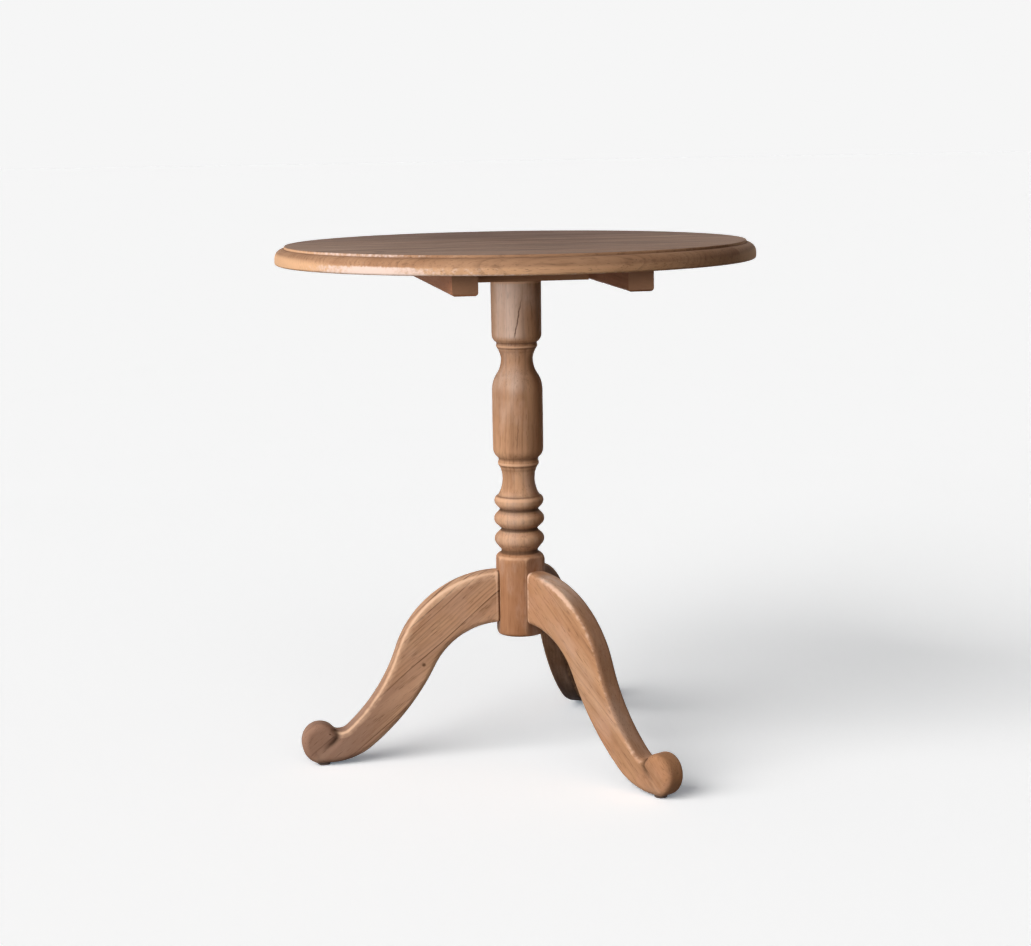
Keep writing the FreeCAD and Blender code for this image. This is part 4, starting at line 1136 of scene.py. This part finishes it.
def mark_rim(mesh):
    """Wear, bare wood, painted shade and painted sheen on the part of the top that a board has."""
    spots = corners(mesh)
    radii = np.hypot(spots[:, 0], spots[:, 1]) / MM
    heights = spots[:, 2] / MM - TOP_BOTTOM
    step_radius = TOP_RADIUS - RIM_OVOLO
    step_foot = TOP_THICKNESS - RIM_LIP - RIM_STEP
    ovolo_foot = step_foot - RIM_OVOLO
    outside = ramp(radii, step_radius - 1.2, step_radius - 0.4)
    band = 1.0 - ramp(heights, ovolo_foot, ovolo_foot + 4.0)
    mark(mesh, "edge", outside)
    mark(mesh, "band", band)
    across = spots[:, 1] / (TOP_RADIUS * MM)
    along = spots[:, 0] / (TOP_RADIUS * MM)
    flat = 1.0 - outside
    # Painted sheen on the flat of the top, strongest at the ends and at the front.
    mark(mesh, "painted_sheen", flat * np.clip(0.6 * np.abs(along) - 0.2 * along - 0.35 * across, 0.0, 0.9))
    # Painted shade on the rim's far side and on its ovolo at the front; the flat is darker towards the
    # back.
    shaded = 0.45 * near_heading(spots, *SHADED_RIM)
    shaded = outside * (shaded + 0.22 * (1.0 - band) * near_heading(spots, *SHADED_OVOLO))
    mark(mesh, "stain_and_shade", flat * 0.55 * ramp(across, -0.1, 0.9) + shaded)
    lip = bell(radii, step_radius - 0.2, 1.3) * ramp(heights, step_foot - 0.3, step_foot + 0.6)
    face = ramp(radii, TOP_RADIUS - 1.5, TOP_RADIUS - 0.4) * band * ramp(heights, 0.2, 1.4)
    arris = bell(heights, 0.7, 0.9) * ramp(radii, TOP_RADIUS - 2.8, TOP_RADIUS - 1.2)
    bare = near_heading(spots, *BARE_SIDE)
    scuffed = near_heading(spots, *SCUFFED_SIDE)
    # The lip is worn, and paler on the side towards the light as a painted highlight.
    wear = lip * (0.15 + 0.35 * near_heading(spots, *PALE_LIP_SIDE))
    wear += 0.2 * outside * bare + face * (0.15 + 0.45 * bare + 0.3 * scuffed)
    wear += arris * (0.15 + 0.5 * near_heading(spots, *WORN_ARRIS))
    mark(mesh, "wear", wear)
    # Painted shade under the step of the rim.
    rise, fall = (step_foot - 1.2, step_foot - 0.2), (step_foot + 0.2, step_foot + 1.0)
    mark(mesh, "crevice_shade", 0.6 * bell(radii, step_radius + 0.5, 0.8) * between(heights, rise, fall))


TOP_SEGMENTS = 721
SHARP_ANGLE = 50.0


def make_boards(tree):
    rim = thinned(sanded(rim_profile(), reach=0.35), tolerance=0.008, longest=1.2)
    rim = rim.real + 1j * np.minimum(rim.imag, TOP_BOTTOM + TOP_THICKNESS)
    line = np.concatenate([[1j * TOP_BOTTOM], rim, [1j * (TOP_BOTTOM + TOP_THICKNESS)]])
    whole = grow("round_top", row_of_points(line), tree, {
        "Segments": TOP_SEGMENTS, "Flats": len(LEG_TURNS), "Flat Distance": 1.0, "Flat Height": 0.0,
        "Edge Softness": 0.0,
    })
    tidy(whole)
    spots = corners(whole)
    spots[:, 2] = np.minimum(spots[:, 2], (TOP_BOTTOM + TOP_THICKNESS) * MM)
    whole.vertices.foreach_set("co", spots.ravel())
    for number in range(1, BOARD_COUNT + 1):
        near = (number - 1 - BOARD_COUNT / 2) * BOARD_WIDTH * MM
        shape = bmesh.new()
        shape.from_mesh(whole)
        for level, keep in ((near, 1), (near + BOARD_WIDTH * MM, -1)):
            everything = shape.verts[:] + shape.edges[:] + shape.faces[:]
            cut = bmesh.ops.bisect_plane(
                shape, geom=everything, plane_co=(0.0, level, 0.0), plane_no=(0.0, -keep, 0.0),
                clear_outer=True,
            )
            edges = [item for item in cut["geom_cut"] if isinstance(item, bmesh.types.BMEdge)]
            if edges:
                bmesh.ops.contextual_create(shape, geom=edges)
        bmesh.ops.recalc_face_normals(shape, faces=shape.faces)
        name = "board_%d_planed" % number
        mesh = bpy.data.meshes.new(name)
        shape.to_mesh(mesh)
        shape.free()
        mark_rim(mesh)
        shift = tuple(part * number for part in BOARD_SHIFT)
        look = toned(TOP_LOOK, BOARD_TONES[number - 1])
        mesh.materials.append(wood("top_wood_%d" % number, look, shift=shift, spots=TOP_SPOTS))
        mesh.shade_smooth()
        mesh.set_sharp_from_angle(angle=math.radians(SHARP_ANGLE))
        stand_in(name, mesh, "top_wood", "top_board_%d" % number)
    bpy.data.meshes.remove(whole)


def make_screws(tree, name, points, node, seed):
    mesh = grow(name, [(x * MM, y * MM, FRAME_BOTTOM * MM) for x, y in points], tree, {
        "Head Radius": 4.0 * MM, "Shank Radius": 2.0 * MM, "Head Height": 2.0 * MM,
        "Length": 38.0 * MM, "Slot Width": 1.0 * MM, "Slot Depth": 1.0 * MM,
        "Thread Pitch": 1.8 * MM, "Seed": seed, "Material": steel(name + "_steel"),
    })
    stand_in(name, mesh, "fastener_steel", node)


def dress(node, material):
    """A CAD node that keeps its shape gets a better finish."""
    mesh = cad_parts[node].data
    mesh.materials.clear()
    mesh.materials.append(material)


LEG_GRAIN_SLOPE = 39.5


def leg_grain(turn):
    """Lays the leg's straight grain along X: first out of its turn, then out of its slope."""
    slope = Matrix.Rotation(math.radians(-LEG_GRAIN_SLOPE), 3, "Y")
    straightened = Matrix.Rotation(math.radians(-turn), 3, "Z")
    return tuple((slope @ straightened).to_euler())


# Knots and stains: place in metres, radius and strength.
LEG_SPOTS = (
    ((-0.1288, -0.015, 0.1261), 0.0035, 0.8),
)
TOP_SPOTS = (
    ((-0.188, -0.1643, 0.66), 0.011, 0.55),
    ((-0.190, -0.2245, 0.651), 0.003, 0.8),
)

LEG_FINISHES = {
    "left": (LIT_LEFT_LEG_LOOK, LEG_SPOTS),
    "front": (FRONT_LEG_LOOK, ()),
    "rear": (SHADED_REAR_LEG_LOOK, ()),
}

# Places of the screws under the frame, in millimetres.
BATTEN_SCREW_X = (-102.0, 102.0)
BATTEN_SCREW_Y = (-215.0, -129.0, -43.0, 43.0, 129.0, 215.0)
RAIL_SCREW_X = (-52.0, 52.0)

lathe = lathe_tree()
screws = screw_tree()
make_post(lathe)
for count, (leg_name, leg_turn) in enumerate(LEG_TURNS.items()):
    leg_look, leg_spots = LEG_FINISHES[leg_name]
    shift = tuple(part * count for part in LEG_SHIFT)
    leg_wood = wood("leg_wood_" + leg_name, leg_look, leg_grain(leg_turn), shift, leg_spots)
    make_leg(leg_name, leg_turn, leg_look, leg_wood)
make_boards(lathe)
batten_places = [(x, y) for x in BATTEN_SCREW_X for y in BATTEN_SCREW_Y]
make_screws(screws, "batten_screws_slotted", batten_places, "batten_screws", seed=3)
rail_places = [(x, 0.0) for x in RAIL_SCREW_X]
make_screws(screws, "rail_screws_slotted", rail_places, "rail_screws", seed=8)

dress("batten_left", wood("batten_left_wood", FRAME_LOOK, ALONG_Y))
dress("batten_right", wood("batten_right_wood", SHADED_FRAME_LOOK, ALONG_Y, (0.7, 0.05, 0.03)))
dress("cross_rail", wood("cross_rail_wood", SHADED_RAIL_LOOK, shift=(1.3, 0.02, 0.05)))
dress("seam_dowels", wood("seam_dowel_wood", DOWEL_LOOK, ALONG_Y))
dress("leg_dowels", wood("leg_dowel_wood", DOWEL_LOOK))
dress("tenon_wedge", wood("wedge_wood", DOWEL_LOOK, UPRIGHT))
dress("glide_nails", steel("nail_steel"))
for leg_name in LEG_TURNS:
    dress("glide_" + leg_name, glide_plastic("glide_plastic_" + leg_name))


# Studio.

def make_camera():
    data = bpy.data.cameras.new("photo_camera")
    data.sensor_width = 36.0
    data.lens = LENS
    data.clip_end = 100.0
    camera = put("photo_camera", data)
    heading = Matrix.Rotation(math.radians(CAMERA_HEADING), 4, "Z")
    tilt = Matrix.Rotation(math.radians(90.0 - CAMERA_PITCH), 4, "X")
    roll = Matrix.Rotation(math.radians(CAMERA_ROLL), 4, "Z")
    camera.matrix_world = Matrix.Translation(CAMERA_PLACE) @ heading @ tilt @ roll
    bpy.context.scene.camera = camera


def seen_rays(maker):
    """1 for rays that show the background: from the camera, in a reflection or through glass."""
    node = maker.add("ShaderNodeLightPath")
    seen = maker.math("MAXIMUM", maker.out(node, "Is Camera Ray"), maker.out(node, "Is Glossy Ray"))
    return maker.math("MAXIMUM", seen, maker.out(node, "Is Transmission Ray"))


def light_on_floor():
    """Red, green and blue light that the lamps and the sky give an open floor."""
    lift = math.sin(math.radians(SKY_SIDE[1]))
    light = []
    for channel in range(3):
        # The sky's level, tilt and change of colour, each summed over the half sphere above.
        middle = (1.0 + SKY_WARM[channel]) / 2
        slope = (1.0 - SKY_WARM[channel]) / 2
        tilted = (slope + SKY_TILT * middle) * lift * 2 / 3
        bent = SKY_TILT * slope * (1.0 + lift * lift) / 4
        level = SKY_LEVEL * (middle + tilted + bent)
        for _, height, _, lamp_level, colour in LAMPS.values():
            level += lamp_level * colour[channel] * math.sin(math.radians(height))
        light.append(level)
    return light


def make_floor():
    """A plain pale floor that keeps the table's shadow."""
    mesh = bpy.data.meshes.new("floor")
    reach = 60.0
    ends = [(-reach, -reach, 0.0), (reach, -reach, 0.0), (reach, reach, 0.0), (-reach, reach, 0.0)]
    mesh.from_pydata(ends, [], [(0, 1, 2, 3)])
    floor = put("floor", mesh)
    material, maker = new_material("pale_floor")
    glow_colour = [PAPER - FLOOR_SHARE * light for light in light_on_floor()]
    paper = maker.get("ShaderNodeBsdfDiffuse", {"Color": [FLOOR_SHARE] * 3})
    glow = maker.get("ShaderNodeEmission", {"Color": glow_colour})
    shown = maker.get("ShaderNodeAddShader", {0: paper, 1: glow})
    dim = maker.get("ShaderNodeBsdfDiffuse", {"Color": FLOOR_BOUNCE})
    surface = maker.get("ShaderNodeMixShader", {0: seen_rays(maker), 1: dim, 2: shown})
    maker.add("ShaderNodeOutputMaterial", {"Surface": surface})
    mesh.materials.append(material)


def source(heading, height):
    """The way towards a lamp."""
    turn = math.radians(heading)
    lift = math.radians(height)
    level = math.cos(lift)
    return Vector((math.cos(turn) * level, math.sin(turn) * level, math.sin(lift)))


def hang(name, kind, energy, way, **settings):
    """A new lamp that shines from the given way."""
    data = bpy.data.lights.new(name, kind)
    data.energy = energy
    for setting, value in settings.items():
        setattr(data, setting, value)
    lamp = put(name, data)
    lamp.rotation_euler = way.to_track_quat("Z", "Y").to_euler()
    return lamp


def make_light():
    for name, (heading, height, width, level, colour) in LAMPS.items():
        hang(
            name, "SUN", level * math.pi, source(heading, height),
            angle=math.radians(width), color=colour,
        )
    for name, ((heading, distance, height), aim, cone, size, level) in SPOTS.items():
        spot = source(heading, 0.0) * distance + Vector((0.0, 0.0, height))
        lamp = hang(
            name, "SPOT", level * (2.0 * math.pi * distance) ** 2, spot - Vector(aim),
            spot_size=math.radians(cone), spot_blend=1.0, shadow_soft_size=size,
        )
        lamp.location = spot
    world = bpy.data.worlds.new("studio")
    bpy.context.scene.world = world
    world.use_nodes = True
    maker = Maker(world.node_tree)
    way = maker.coordinate("Generated")
    bright = maker.vector("DOT_PRODUCT", way, tuple(source(*SKY_SIDE)), name="Value")
    tint = maker.mix(bright * 0.5 + 0.5, SKY_WARM, WHITE)
    strength = (bright * SKY_TILT + 1.0) * SKY_LEVEL
    sky = maker.get("ShaderNodeBackground", {"Color": tint, "Strength": strength})
    backdrop = maker.get("ShaderNodeBackground", {"Color": WHITE, "Strength": PAPER})
    surface = maker.get("ShaderNodeMixShader", {0: seen_rays(maker), 1: sky, 2: backdrop})
    maker.add("ShaderNodeOutputWorld", {"Surface": surface})


make_camera()
make_floor()
make_light()
bpy.context.scene.view_settings.view_transform = "Standard"
